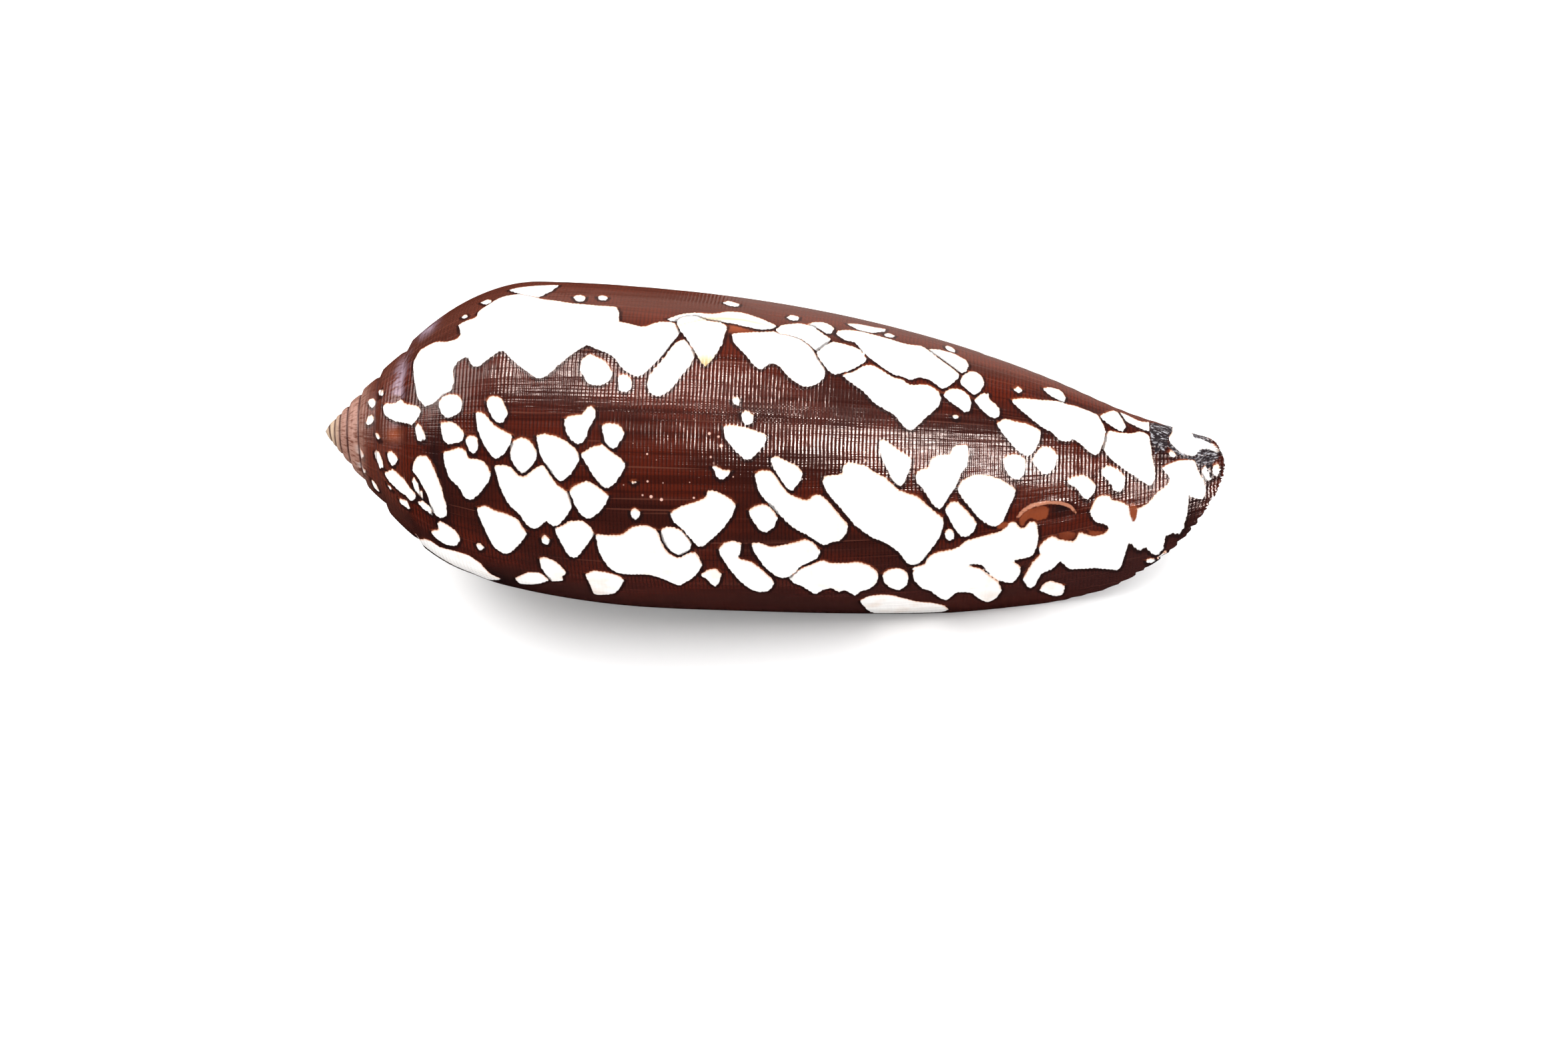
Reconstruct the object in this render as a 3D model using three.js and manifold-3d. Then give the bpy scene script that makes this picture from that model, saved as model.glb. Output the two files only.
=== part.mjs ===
// A cone shell, grown as one piece and lying on its mouth side.
// Millimetres, +Z up, the spire towards -X and the narrow front end towards +X.
import * as THREE from 'three';
import { ParametricGeometry } from 'three/addons/geometries/ParametricGeometry.js';
import { mergeGeometries, mergeVertices } from 'three/addons/utils/BufferGeometryUtils.js';
import Module from 'manifold-3d';

// Size of the whole shell, from the apex to the front tip along the coiling axis.
const SHELL_LENGTH = 105;

// Outline of the last whorl: radius at each axial station, at the lip, half a turn back and a full turn back.
const STATIONS = [18, 27, 36, 50, 62, 74, 84, 94, 105];
const LIP_RADII = [16.6, 18.5, 19.6, 19.95, 19.95, 19.55, 18.5, 17.75, 17.7];
const BACK_RADII = [18.2, 18.2, 17.9, 16.7, 14.75, 11.8, 8.45, 4.4, 1.2];
const PARIETAL_RADII = [15.6, 15.6, 15.0, 13.0, 10.6, 7.9, 5.6, 3.4, 1.2];

// Spire: a blunt cone of five whorls, a little fuller on the lip side.
const SPIRE_SLOPE = Math.tan(THREE.MathUtils.degToRad(47));
const SPIRE_LEAN = 0.05;
const NOSE_RADIUS = 0.5;
const SPIRE_TURNS = 5;
const WHORL_GROWTH = 1.5;
const SUTURE_AT_LIP = 11.8;
const SHOULDER_ROUNDING = 0.45;

// Front edge: the lip runs straight to its end, then sweeps round to the tip and falls away behind it.
const LIP_END = 73;
const TIP_ANGLE = THREE.MathUtils.degToRad(-75);
const EDGE_SQUARENESS = 2.3;
const EDGE_FALL_PER_TURN = 7;

// Mouth: a slot between the lip and the whorl before it, winding inwards.
const LIP_THICKNESS = 0.9;
const WALL_THICKNESS = 2;
const WALL_FULL_ANGLE = THREE.MathUtils.degToRad(60);
const WALL_SHARE = 0.45;
const CEILING_DROP = 8;
const CEILING_ANGLE = THREE.MathUtils.degToRad(40);
const PILLAR_BULGE = 0.8;

// Rest: the turn and tip-down pitch at which the shell balances, and the worn flat it stands on.
const REST_TURN = THREE.MathUtils.degToRad(127.2);
const REST_PITCH = THREE.MathUtils.degToRad(6.3);
const WORN_DEPTH = 0.25;

// Facets round a turn, round the depth of the mouth, down a spire whorl and down the body.
// The first few rows of the body lie behind the mouth, where the lip is sealed to the whorl before it.
const COLUMNS = 54;
const MOUTH_COLUMNS = 36;
const RAMP_STEPS = [0, 0.1, 0.4, 0.7];
const BODY_ROWS = 20;
const CLOSED_ROWS = 3;
const WELD = 1e-3;

const SHELL_COLOUR = 0x5a2a1c;
const SHELL_ROUGHNESS = 0.3;

const TURN = 2 * Math.PI;
const RAMP_ROWS = RAMP_STEPS.length;
const SPIRE_ROWS = (SPIRE_TURNS + 1) * RAMP_ROWS;
const MOUTH_DEPTH = TURN * MOUTH_COLUMNS / COLUMNS;
const PILLAR_COLUMNS = COLUMNS - MOUTH_COLUMNS;
const MOUTH_ROWS = BODY_ROWS - CLOSED_ROWS;
const MOUTH_START = CLOSED_ROWS / BODY_ROWS;

const lipOutline = new THREE.CubicInterpolant(STATIONS, LIP_RADII, 1);
const backOutline = new THREE.CubicInterpolant(STATIONS, BACK_RADII, 1);
const parietalOutline = new THREE.CubicInterpolant(STATIONS, PARIETAL_RADII, 1);

function outlineRadius(outline, axial) {
  const held = THREE.MathUtils.clamp(axial, STATIONS[0], STATIONS.at(-1));
  return outline.evaluate(held)[0];
}

function softMinimum(first, second, width) {
  const overlap = Math.max(width - Math.abs(first - second), 0) / width;
  return Math.min(first, second) - overlap * overlap * width / 4;
}

// Growth angles count back from the lip: zero at the lip, minus one turn at the wall facing it.

// Axial place of the suture laid down at a growth angle; the first turn opens from a point.
function sutureAxial(angle) {
  const turns = Math.max(SPIRE_TURNS + angle / TURN, 0);
  const opening = Math.min(turns, 1);
  return SUTURE_AT_LIP * opening * WHORL_GROWTH ** (turns - SPIRE_TURNS);
}

// Axial place where the shell ends at the front.
function edgeAxial(angle) {
  const sweep = THREE.MathUtils.clamp(1 - angle / TIP_ANGLE, 0, 1);
  const rise = (1 - sweep ** EDGE_SQUARENESS) ** (1 / EDGE_SQUARENESS);
  const behindTip = Math.max(TIP_ANGLE - angle, 0);
  return LIP_END + (SHELL_LENGTH - LIP_END) * rise - EDGE_FALL_PER_TURN * behindTip / TURN;
}

// The three outlines are blended by their logarithms, since a shell grows by ratios.
function bodyRadius(axial, angle) {
  const back = THREE.MathUtils.clamp(-angle / TURN, 0, 1);
  const lipShare = (1 - back) * (1 - 2 * back);
  const backShare = 4 * back * (1 - back);
  const parietalShare = back * (2 * back - 1);
  const blended = lipShare * Math.log(outlineRadius(lipOutline, axial))
    + backShare * Math.log(outlineRadius(backOutline, axial))
    + parietalShare * Math.log(outlineRadius(parietalOutline, axial));
  const earlierTurns = Math.min(angle + TURN, 0) / TURN;
  return Math.exp(blended) * WHORL_GROWTH ** earlierTurns;
}

// Outer radius of a whorl: the spire's cone, rounded over a shoulder into the body.
function whorlRadius(axial, angle) {
  const slope = SPIRE_SLOPE + SPIRE_LEAN * Math.cos(angle);
  const nose = NOSE_RADIUS * (1 - Math.exp(-axial / NOSE_RADIUS));
  const rounding = SHOULDER_ROUNDING * bodyRadius(STATIONS[0], angle);
  return softMinimum(axial * slope + nose, bodyRadius(axial, angle), rounding);
}

function wallThickness(axial, angle) {
  const gap = whorlRadius(axial, angle) - whorlRadius(axial, angle - TURN);
  const inward = THREE.MathUtils.clamp(-angle / WALL_FULL_ANGLE, 0, 1);
  const full = THREE.MathUtils.lerp(LIP_THICKNESS, WALL_THICKNESS, inward);
  return Math.min(full, WALL_SHARE * gap);
}

function place(axial, radius, angle, target) {
  const around = angle + REST_TURN;
  return target.set(axial, -radius * Math.sin(around), radius * Math.cos(around));
}

// Spire and ramp: each row follows the suture that is drawn some part of a turn later.
function spirePoint(u, v, target) {
  const row = Math.round(v * SPIRE_ROWS);
  const whorl = Math.floor(row / RAMP_ROWS) - SPIRE_TURNS;
  const step = RAMP_STEPS[row % RAMP_ROWS];
  const angle = TURN * (u - 1);
  const axial = sutureAxial(angle + TURN * (whorl + step));
  const ownAngle = angle + TURN * Math.min(whorl, 0);
  const onSuture = step === 0 && whorl < 1;
  const surfaceAngle = onSuture ? ownAngle - TURN : ownAngle;
  return place(axial, whorlRadius(axial, surfaceAngle), angle, target);
}

function outerPoint(u, v, target) {
  const angle = TURN * (u - 1);
  const axial = THREE.MathUtils.lerp(sutureAxial(angle + TURN), edgeAxial(angle), v);
  return place(axial, whorlRadius(axial, angle), angle, target);
}

// Roof of the mouth, where the two walls of the slot meet; it climbs towards the shoulder inside.
function ceilingAxial(angle) {
  const dropAtLip = MOUTH_START * (edgeAxial(-TURN) - SUTURE_AT_LIP);
  const inward = THREE.MathUtils.clamp(-angle / CEILING_ANGLE, 0, 1);
  return sutureAxial(angle) + THREE.MathUtils.lerp(dropAtLip, CEILING_DROP, inward);
}

// Wall of the earlier whorl, which faces the lip across the slot.
function pillarSide(angle, v, target) {
  const axial = THREE.MathUtils.lerp(ceilingAxial(angle), edgeAxial(angle - TURN), v);
  return place(axial, whorlRadius(axial, angle - TURN), angle, target);
}

function lipSide(angle, v, target) {
  if (v === 0) return pillarSide(angle, v, target);
  const axial = THREE.MathUtils.lerp(ceilingAxial(angle), edgeAxial(angle), v);
  return place(axial, whorlRadius(axial, angle) - wallThickness(axial, angle), angle, target);
}

// Blind inner end of the slot, half way between its two walls.
function deepPoint(v, target) {
  lipSide(-MOUTH_DEPTH, v, target);
  return target.lerp(pillarSide(-MOUTH_DEPTH, v, new THREE.Vector3()), 0.5);
}

function pillarPoint(u, v, target) {
  if (u === 0) return deepPoint(v, target);
  return pillarSide(MOUTH_DEPTH * (u - 1), v, target);
}

function lipInsidePoint(u, v, target) {
  if (u === 0) return deepPoint(v, target);
  return lipSide(MOUTH_DEPTH * (u - 1), v, target);
}

function lipEdgePoint(u, v, target) {
  if (u === 0) return outerPoint(1, v, target);
  if (v <= MOUTH_START) return outerPoint(0, v, target);
  return lipInsidePoint(1, (v - MOUTH_START) / (1 - MOUTH_START), target);
}

// Small step at the rear end of the lip, from the ramp down to the suture.
function stepPoint(u, v, target) {
  if (u === 1) return outerPoint(0, 0, target);
  const row = SPIRE_TURNS * RAMP_ROWS + v * RAMP_ROWS;
  return spirePoint(1, row / SPIRE_ROWS, target);
}

function frontEdgePoint(u, v, target) {
  if (v === 1) return lipInsidePoint(u, 1, target);
  return outerPoint(1 - (1 - u) * MOUTH_COLUMNS / COLUMNS, 1, target);
}

// Front end of the pillar: its wall inside the mouth, then the outer wall round to the blind end.
function pillarRim(column, target) {
  if (column <= MOUTH_COLUMNS) return pillarPoint(column / MOUTH_COLUMNS, 1, target);
  const outerColumn = column - MOUTH_COLUMNS;
  if (outerColumn <= PILLAR_COLUMNS) return outerPoint(outerColumn / COLUMNS, 1, target);
  return deepPoint(1, target);
}

function pillarTip() {
  const tip = new THREE.Vector3();
  for (let column = 0; column < COLUMNS; column += 1) {
    tip.add(pillarRim(column, new THREE.Vector3()));
  }
  tip.divideScalar(COLUMNS);
  tip.x += PILLAR_BULGE;
  return tip;
}

const PILLAR_TIP = pillarTip();

function pillarEndPoint(u, v, target) {
  if (v === 1) return target.copy(PILLAR_TIP);
  return pillarRim(Math.round(u * (COLUMNS + 1)), target);
}

function mirroredAcross(pointFunction) {
  return (u, v, target) => pointFunction(1 - u, v, target);
}

// Only positions are kept, so that neighbouring sheets can be welded.
function bareSheet(sheet) {
  sheet.deleteAttribute('normal');
  sheet.deleteAttribute('uv');
  return sheet;
}

function shellSkin() {
  const sheets = [
    new ParametricGeometry(spirePoint, COLUMNS, SPIRE_ROWS),
    new ParametricGeometry(outerPoint, COLUMNS, BODY_ROWS),
    new ParametricGeometry(pillarPoint, MOUTH_COLUMNS, MOUTH_ROWS),
    new ParametricGeometry(mirroredAcross(lipInsidePoint), MOUTH_COLUMNS, MOUTH_ROWS),
    new ParametricGeometry(lipEdgePoint, 1, BODY_ROWS),
    new ParametricGeometry(stepPoint, 1, RAMP_ROWS),
    new ParametricGeometry(frontEdgePoint, MOUTH_COLUMNS, 1),
    new ParametricGeometry(pillarEndPoint, COLUMNS + 1, 1),
  ];
  return mergeVertices(mergeGeometries(sheets.map(bareSheet)), WELD);
}

// Leaves out the triangles that shrink to a line at the apex and along the welded borders.
function soundTriangles(geometry) {
  const kept = [];
  const index = geometry.index.array;
  for (let corner = 0; corner < index.length; corner += 3) {
    const [a, b, c] = index.slice(corner, corner + 3);
    if (a !== b && b !== c && c !== a) kept.push(a, b, c);
  }
  return new Uint32Array(kept);
}

const wasm = await Module();
wasm.setup();

function toSolid(geometry) {
  const vertProperties = new Float32Array(geometry.attributes.position.array);
  const triVerts = soundTriangles(geometry);
  return new wasm.Manifold(new wasm.Mesh({ numProp: 3, vertProperties, triVerts }));
}

function toGeometry(solid) {
  const mesh = solid.getMesh();
  const geometry = new THREE.BufferGeometry();
  geometry.setAttribute('position', new THREE.BufferAttribute(mesh.vertProperties, 3));
  geometry.setIndex(new THREE.BufferAttribute(mesh.triVerts, 1));
  geometry.computeVertexNormals();
  return geometry;
}

// Lays the shell on its balance points and centres it over the origin.
function layDown(geometry) {
  geometry.rotateY(REST_PITCH);
  geometry.computeBoundingBox();
  const { min, max } = geometry.boundingBox;
  geometry.translate(-(min.x + max.x) / 2, -(min.y + max.y) / 2, -min.z - WORN_DEPTH);
  return geometry;
}

// Everything below the floor, which wears the lowest skin to a flat.
function floorBlock() {
  const side = 2 * SHELL_LENGTH;
  const block = bareSheet(new THREE.BoxGeometry(side, side, side));
  block.translate(0, 0, -side / 2);
  return mergeVertices(block, WELD);
}

const shellSolid = toSolid(layDown(shellSkin())).subtract(toSolid(floorBlock()));

const shellMaterial = new THREE.MeshStandardMaterial({
  color: SHELL_COLOUR,
  roughness: SHELL_ROUGHNESS,
  metalness: 0,
});

const shell = new THREE.Mesh(toGeometry(shellSolid), shellMaterial);
shell.name = 'shell';

const group = new THREE.Group();
group.name = 'cone_shell';
group.add(shell);

export default group;
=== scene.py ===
# %% [markdown]
# # A cone shell, lying on its mouth side
# This lesson builds one long cone shell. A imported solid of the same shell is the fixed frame: it gives the
# size, the place and the box that the finished mesh has to stay inside. Blender adds the fine surface and
# the paint.

# %% Load the frame
import math

import bmesh
import bpy
import numpy as np
from mathutils import Matrix, Vector
from mathutils.bvhtree import BVHTree


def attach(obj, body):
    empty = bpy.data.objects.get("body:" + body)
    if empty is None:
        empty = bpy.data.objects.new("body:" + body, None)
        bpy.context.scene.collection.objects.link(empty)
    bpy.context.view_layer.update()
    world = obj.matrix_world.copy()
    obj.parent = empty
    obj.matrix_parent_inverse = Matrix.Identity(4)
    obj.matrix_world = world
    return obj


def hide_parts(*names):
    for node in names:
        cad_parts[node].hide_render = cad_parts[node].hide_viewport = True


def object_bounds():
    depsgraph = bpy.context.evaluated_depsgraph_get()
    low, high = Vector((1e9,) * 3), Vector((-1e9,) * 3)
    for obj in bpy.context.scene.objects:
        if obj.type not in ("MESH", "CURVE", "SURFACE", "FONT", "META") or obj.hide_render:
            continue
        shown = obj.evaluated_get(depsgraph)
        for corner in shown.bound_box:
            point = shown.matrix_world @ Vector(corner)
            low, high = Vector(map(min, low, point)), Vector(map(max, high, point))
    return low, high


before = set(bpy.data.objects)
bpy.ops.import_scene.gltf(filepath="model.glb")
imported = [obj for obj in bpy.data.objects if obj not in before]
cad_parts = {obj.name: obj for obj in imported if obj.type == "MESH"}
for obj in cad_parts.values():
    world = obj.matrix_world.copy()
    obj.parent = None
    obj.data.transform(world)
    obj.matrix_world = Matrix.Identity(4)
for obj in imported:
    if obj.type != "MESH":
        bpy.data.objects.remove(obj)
cad_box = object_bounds()
MM = 0.001
print("frame box in mm:", [[round(c / MM, 2) for c in corner] for corner in cad_box])

# %% [markdown]
# ## How the shell grows
# A snail adds shell only at its lip, while the lip turns about one axis. So each place on the shell has two
# natural coordinates: "along", the millimetres from the apex along that axis, and "angle", the growth angle,
# which is zero at the lip and minus one turn at the wall that faces it. The radius of the last whorl is
# blended from three outlines, at the lip, half a turn back and a full turn back. The blend is made on
# logarithms, because a shell grows by ratios. Measured outlines keep the silhouette true, which a plain
# spiral formula would not. All lengths are in millimetres until the shell is laid down.

# %% A smooth outline
STATIONS = np.array([18.0, 27, 36, 50, 62, 74, 84, 94, 105])
LIP_RADII = np.array([16.6, 18.5, 19.6, 19.95, 19.95, 19.55, 18.5, 17.75, 17.7])
BACK_RADII = np.array([18.2, 18.2, 17.9, 16.7, 14.75, 11.8, 8.45, 4.4, 1.2])
PARIETAL_RADII = np.array([15.6, 15.6, 15.0, 13.0, 10.6, 7.9, 5.6, 3.4, 1.2])


def outline_radius(radii, along):
    """A smooth curve through the measured radii."""
    secants = np.diff(radii) / np.diff(STATIONS)
    tangents = np.concatenate([secants[:1], (secants[1:] + secants[:-1]) / 2, secants[-1:]])
    held = np.clip(along, STATIONS[0], STATIONS[-1])
    first = np.clip(np.searchsorted(STATIONS, held) - 1, 0, len(STATIONS) - 2)
    step = STATIONS[first + 1] - STATIONS[first]
    t = (held - STATIONS[first]) / step
    ends = (2 * t**3 - 3 * t**2 + 1) * radii[first] + (3 * t**2 - 2 * t**3) * radii[first + 1]
    slopes = (t**3 - 2 * t**2 + t) * tangents[first] + (t**3 - t**2) * tangents[first + 1]
    return ends + step * slopes


print("stations along the last whorl:", len(STATIONS))

# %% Suture and front edge
TURN = 2 * math.pi
SHELL_LENGTH = 105.0
SPIRE_TURNS = 7
WHORL_GROWTH = 1.5
SUTURE_AT_LIP = 11.8
LIP_END = 73.0
TIP_ANGLE = math.radians(-75)
EDGE_SQUARENESS = 2.3
EDGE_FALL_PER_TURN = 7.0


def suture_along(angle):
    """Where the suture lies; the first turn opens from a point."""
    turns = np.maximum(SPIRE_TURNS + angle / TURN, 0)
    return SUTURE_AT_LIP * np.minimum(turns, 1) * WHORL_GROWTH ** (turns - SPIRE_TURNS)


def edge_along(angle):
    """Where the shell ends at the front: the lip's end, the sweep round the tip, the fall behind it."""
    sweep = np.clip(1 - angle / TIP_ANGLE, 0, 1)
    rise = (1 - sweep**EDGE_SQUARENESS) ** (1 / EDGE_SQUARENESS)
    behind_tip = np.maximum(TIP_ANGLE - angle, 0)
    return LIP_END + (SHELL_LENGTH - LIP_END) * rise - EDGE_FALL_PER_TURN * behind_tip / TURN


print("front end at the tip, mm from the apex:", round(float(edge_along(TIP_ANGLE)), 1))

# %% Radius of a whorl
SPIRE_SLOPE = math.tan(math.radians(47))
SPIRE_LEAN = 0.05
NOSE_RADIUS = 0.5
SHOULDER_ROUNDING = 0.45


def body_radius(along, angle):
    """The blend of the three outlines; whorls before the last one are smaller by a ratio."""
    back = np.clip(-angle / TURN, 0, 1)
    blended = (1 - back) * (1 - 2 * back) * np.log(outline_radius(LIP_RADII, along))
    blended = blended + 4 * back * (1 - back) * np.log(outline_radius(BACK_RADII, along))
    blended = blended + back * (2 * back - 1) * np.log(outline_radius(PARIETAL_RADII, along))
    return np.exp(blended) * WHORL_GROWTH ** (np.minimum(angle + TURN, 0) / TURN)


def whorl_radius(along, angle):
    """The spire's blunt cone, rounded over a shoulder into the body."""
    cone = along * (SPIRE_SLOPE + SPIRE_LEAN * np.cos(angle))
    cone = cone + NOSE_RADIUS * (1 - np.exp(-along / NOSE_RADIUS))
    body = body_radius(along, angle)
    width = SHOULDER_ROUNDING * body_radius(STATIONS[0] + 0 * along, angle)
    overlap = np.maximum(width - np.abs(cone - body), 0) / width
    return np.minimum(cone, body) - overlap**2 * width / 4


widest = float(whorl_radius(STATIONS[1:2], np.array([-math.pi]))[0])
print("radius at the shoulder, half a turn back, in mm:", round(widest, 2))

# %% [markdown]
# ## The mouth
# The mouth is the slot between the lip and the whorl before it. It could be cut out of a solid shell, but a
# real one is left open as the shell grows, so here its walls follow the growth law too. It winds inwards with
# the whorl, its walls thicken from the sharp lip, and its roof rises towards the shoulder.

# %% The mouth's walls
LIP_THICKNESS = 0.9
WALL_THICKNESS = 2.0
WALL_FULL_ANGLE = math.radians(60)
WALL_SHARE = 0.45
CEILING_DROP = 8.0
CEILING_ANGLE = math.radians(40)
CLOSED_SHARE = 0.15
MOUTH_DEPTH = math.radians(240)


def wall_thickness(along, angle):
    gap = whorl_radius(along, angle) - whorl_radius(along, angle - TURN)
    inward = np.clip(-angle / WALL_FULL_ANGLE, 0, 1)
    return np.minimum(LIP_THICKNESS + (WALL_THICKNESS - LIP_THICKNESS) * inward, WALL_SHARE * gap)


def ceiling_along(angle):
    drop_at_lip = CLOSED_SHARE * (edge_along(-TURN) - SUTURE_AT_LIP)
    inward = np.clip(-angle / CEILING_ANGLE, 0, 1)
    return suture_along(angle) + drop_at_lip + (CEILING_DROP - drop_at_lip) * inward


print("roof of the mouth at the lip, mm from the apex:", round(float(ceiling_along(0.0)), 1))

# %% [markdown]
# ## Rolling flat grids into a shell
# A flat grid from create_grid is the simplest sheet with even faces. Each sheet is "rolled" by moving its
# vertices with the growth law, as a sculptor would roll a slab of clay. The half of the shell that shows
# most gets twice as many columns. Every vertex remembers its along and angle, because the markings are
# placed by them.

# %% A sheet that can be rolled
shell_mesh = bmesh.new()
along_layer = shell_mesh.verts.layers.float.new("along")
angle_layer = shell_mesh.verts.layers.float.new("angle")
lining_layer = shell_mesh.verts.layers.float.new("lining")


def rolled_sheet(columns, rows, roll, lining=0.0):
    """Makes a flat grid and rolls it up; roll turns two shares from 0 to 1 into along, radius and angle."""
    made = bmesh.ops.create_grid(shell_mesh, x_segments=columns, y_segments=rows, size=0.5)["verts"]
    flat = np.array([vert.co for vert in made]) + 0.5
    u = np.round(flat[:, 0] * columns) / columns
    v = np.round(flat[:, 1] * rows) / rows
    along, radius, angle = np.broadcast_arrays(*roll(u, v))
    across = -radius * np.sin(angle)
    upward = radius * np.cos(angle)
    for i, vert in enumerate(made):
        vert.co = along[i], across[i], upward[i]
        vert[along_layer] = along[i]
        vert[angle_layer] = angle[i]
        vert[lining_layer] = lining
    return made


print("each vertex remembers:", shell_mesh.verts.layers.float.keys())

# %% Rolls for the spire and the body
RAMP_ROWS = 6
SPIRE_ROWS = (SPIRE_TURNS + 1) * RAMP_ROWS
HIDDEN_COLUMN_SHARE = 1 / 3


def column_angle(u):
    return np.interp(u, [0, HIDDEN_COLUMN_SHARE, 1], [-TURN, -TURN / 2, 0])


def roll_spire(u, v):
    """Each row follows the suture that is drawn some part of a turn later."""
    row = np.round(v * SPIRE_ROWS)
    whorl = np.floor(row / RAMP_ROWS) - SPIRE_TURNS
    step = (row % RAMP_ROWS) / RAMP_ROWS
    angle = column_angle(u)
    along = suture_along(angle + TURN * (whorl + step))
    own = angle + TURN * np.minimum(whorl, 0)
    on_suture = (step == 0) & (whorl < 1)
    return along, whorl_radius(along, np.where(on_suture, own - TURN, own)), angle


def roll_body(u, v):
    angle = column_angle(u)
    start = suture_along(angle + TURN)
    along = start + v * (edge_along(angle) - start)
    return along, whorl_radius(along, angle), angle


print("rows on the spire:", SPIRE_ROWS)

# %% Rolls for the mouth
MOUTH_EASE = 1.5


def mouth_angle(u):
    return -MOUTH_DEPTH * (1 - u) ** MOUTH_EASE


def pillar_side(angle, v):
    along = ceiling_along(angle) + v * (edge_along(angle - TURN) - ceiling_along(angle))
    return along, whorl_radius(along, angle - TURN)


def lip_side(angle, v):
    along = ceiling_along(angle) + v * (edge_along(angle) - ceiling_along(angle))
    radius = whorl_radius(along, angle) - wall_thickness(along, angle)
    roof_along, roof_radius = pillar_side(angle, v)
    return np.where(v == 0, roof_along, along), np.where(v == 0, roof_radius, radius)


def roll_mouth(side):
    """A wall of the slot; both walls meet half way at its blind inner end."""

    def roll(u, v):
        angle = mouth_angle(u)
        own = side(angle, v)
        other = (lip_side if side is pillar_side else pillar_side)(angle, v)
        deep = u == 0
        along = np.where(deep, (own[0] + other[0]) / 2, own[0])
        return along, np.where(deep, (own[1] + other[1]) / 2, own[1]), angle

    return roll


print("the mouth winds in by degrees:", round(math.degrees(MOUTH_DEPTH)))

# %% Roll for the lip's edge
LIP_BULGE = 0.25
SEAM_SLACK = 1e-6


def roll_lip_edge(u, v):
    """The lip's rounded edge, from the outside to the wall before it or to the lining of the lip."""
    outer_along, outer_radius, _ = roll_body(np.ones_like(u), v)
    facing_along, facing_radius, _ = roll_body(np.zeros_like(u), v)
    lining_v = np.clip((v - CLOSED_SHARE) / (1 - CLOSED_SHARE), 0, 1)
    lining_along, lining_radius = lip_side(np.zeros_like(u), lining_v)
    sealed = v <= CLOSED_SHARE + SEAM_SLACK
    far_along = np.where(sealed, facing_along, lining_along)
    far_radius = np.where(sealed, facing_radius, lining_radius)
    along = outer_along + u * (far_along - outer_along)
    radius = outer_radius + u * (far_radius - outer_radius)
    bulge = np.where(sealed, 0.0, LIP_BULGE * np.sin(math.pi * u)) / radius
    return along, radius, bulge


print("the lip's edge bulges by mm:", LIP_BULGE)

# %% Roll the five sheets
OUTER_COLUMNS = 300
BODY_ROWS = 220
MOUTH_COLUMNS = 24
MOUTH_ROWS = BODY_ROWS - round(CLOSED_SHARE * BODY_ROWS)
LIP_COLUMNS = 4

rolled_sheet(OUTER_COLUMNS, SPIRE_ROWS, roll_spire)
body_sheet = rolled_sheet(OUTER_COLUMNS, BODY_ROWS, roll_body)
rolled_sheet(MOUTH_COLUMNS, MOUTH_ROWS, roll_mouth(pillar_side), lining=1.0)
lip_sheet = rolled_sheet(MOUTH_COLUMNS, MOUTH_ROWS, roll_mouth(lip_side), lining=1.0)
rolled_sheet(LIP_COLUMNS, BODY_ROWS, roll_lip_edge)
print("rolled sheets hold", len(shell_mesh.verts), "vertices")

# %% [markdown]
# ## Closing the skin
# Two borders run side by side round the front of the mouth, the outside and the lining. bridge_loops joins
# them although one has more vertices. Merging doubles then welds all the sheets. The holes that are left are
# the small step behind the lip and the front end of the pillar: they are filled, and the pillar's end is
# poked to a blunt point.

# %% Bridge, weld and fill
WELD = 0.0005
PILLAR_BULGE = 0.8


def front_edges(sheet, columns):
    """The edges along a sheet's last row, as far in as the mouth goes."""
    row = sheet[-(columns + 1):]
    pairs = [pair for pair in zip(row, row[1:]) if pair[0][angle_layer] >= -MOUTH_DEPTH]
    return [shell_mesh.edges.get(pair) for pair in pairs]


front_rims = front_edges(body_sheet, OUTER_COLUMNS) + front_edges(lip_sheet, MOUTH_COLUMNS)
bmesh.ops.bridge_loops(shell_mesh, edges=front_rims)
bmesh.ops.remove_doubles(shell_mesh, verts=shell_mesh.verts, dist=WELD)
bmesh.ops.dissolve_degenerate(shell_mesh, edges=shell_mesh.edges, dist=WELD)
open_edges = [edge for edge in shell_mesh.edges if edge.is_boundary]
patches = bmesh.ops.holes_fill(shell_mesh, edges=open_edges, sides=0)["faces"]
bmesh.ops.recalc_face_normals(shell_mesh, faces=shell_mesh.faces)
pillar_end = max(patches, key=lambda face: face.calc_area())
bmesh.ops.poke(shell_mesh, faces=[pillar_end], offset=PILLAR_BULGE)
closed = all(edge.is_manifold for edge in shell_mesh.edges)
print("filled holes:", len(patches), "closed:", closed, "faces:", len(shell_mesh.faces))
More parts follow.
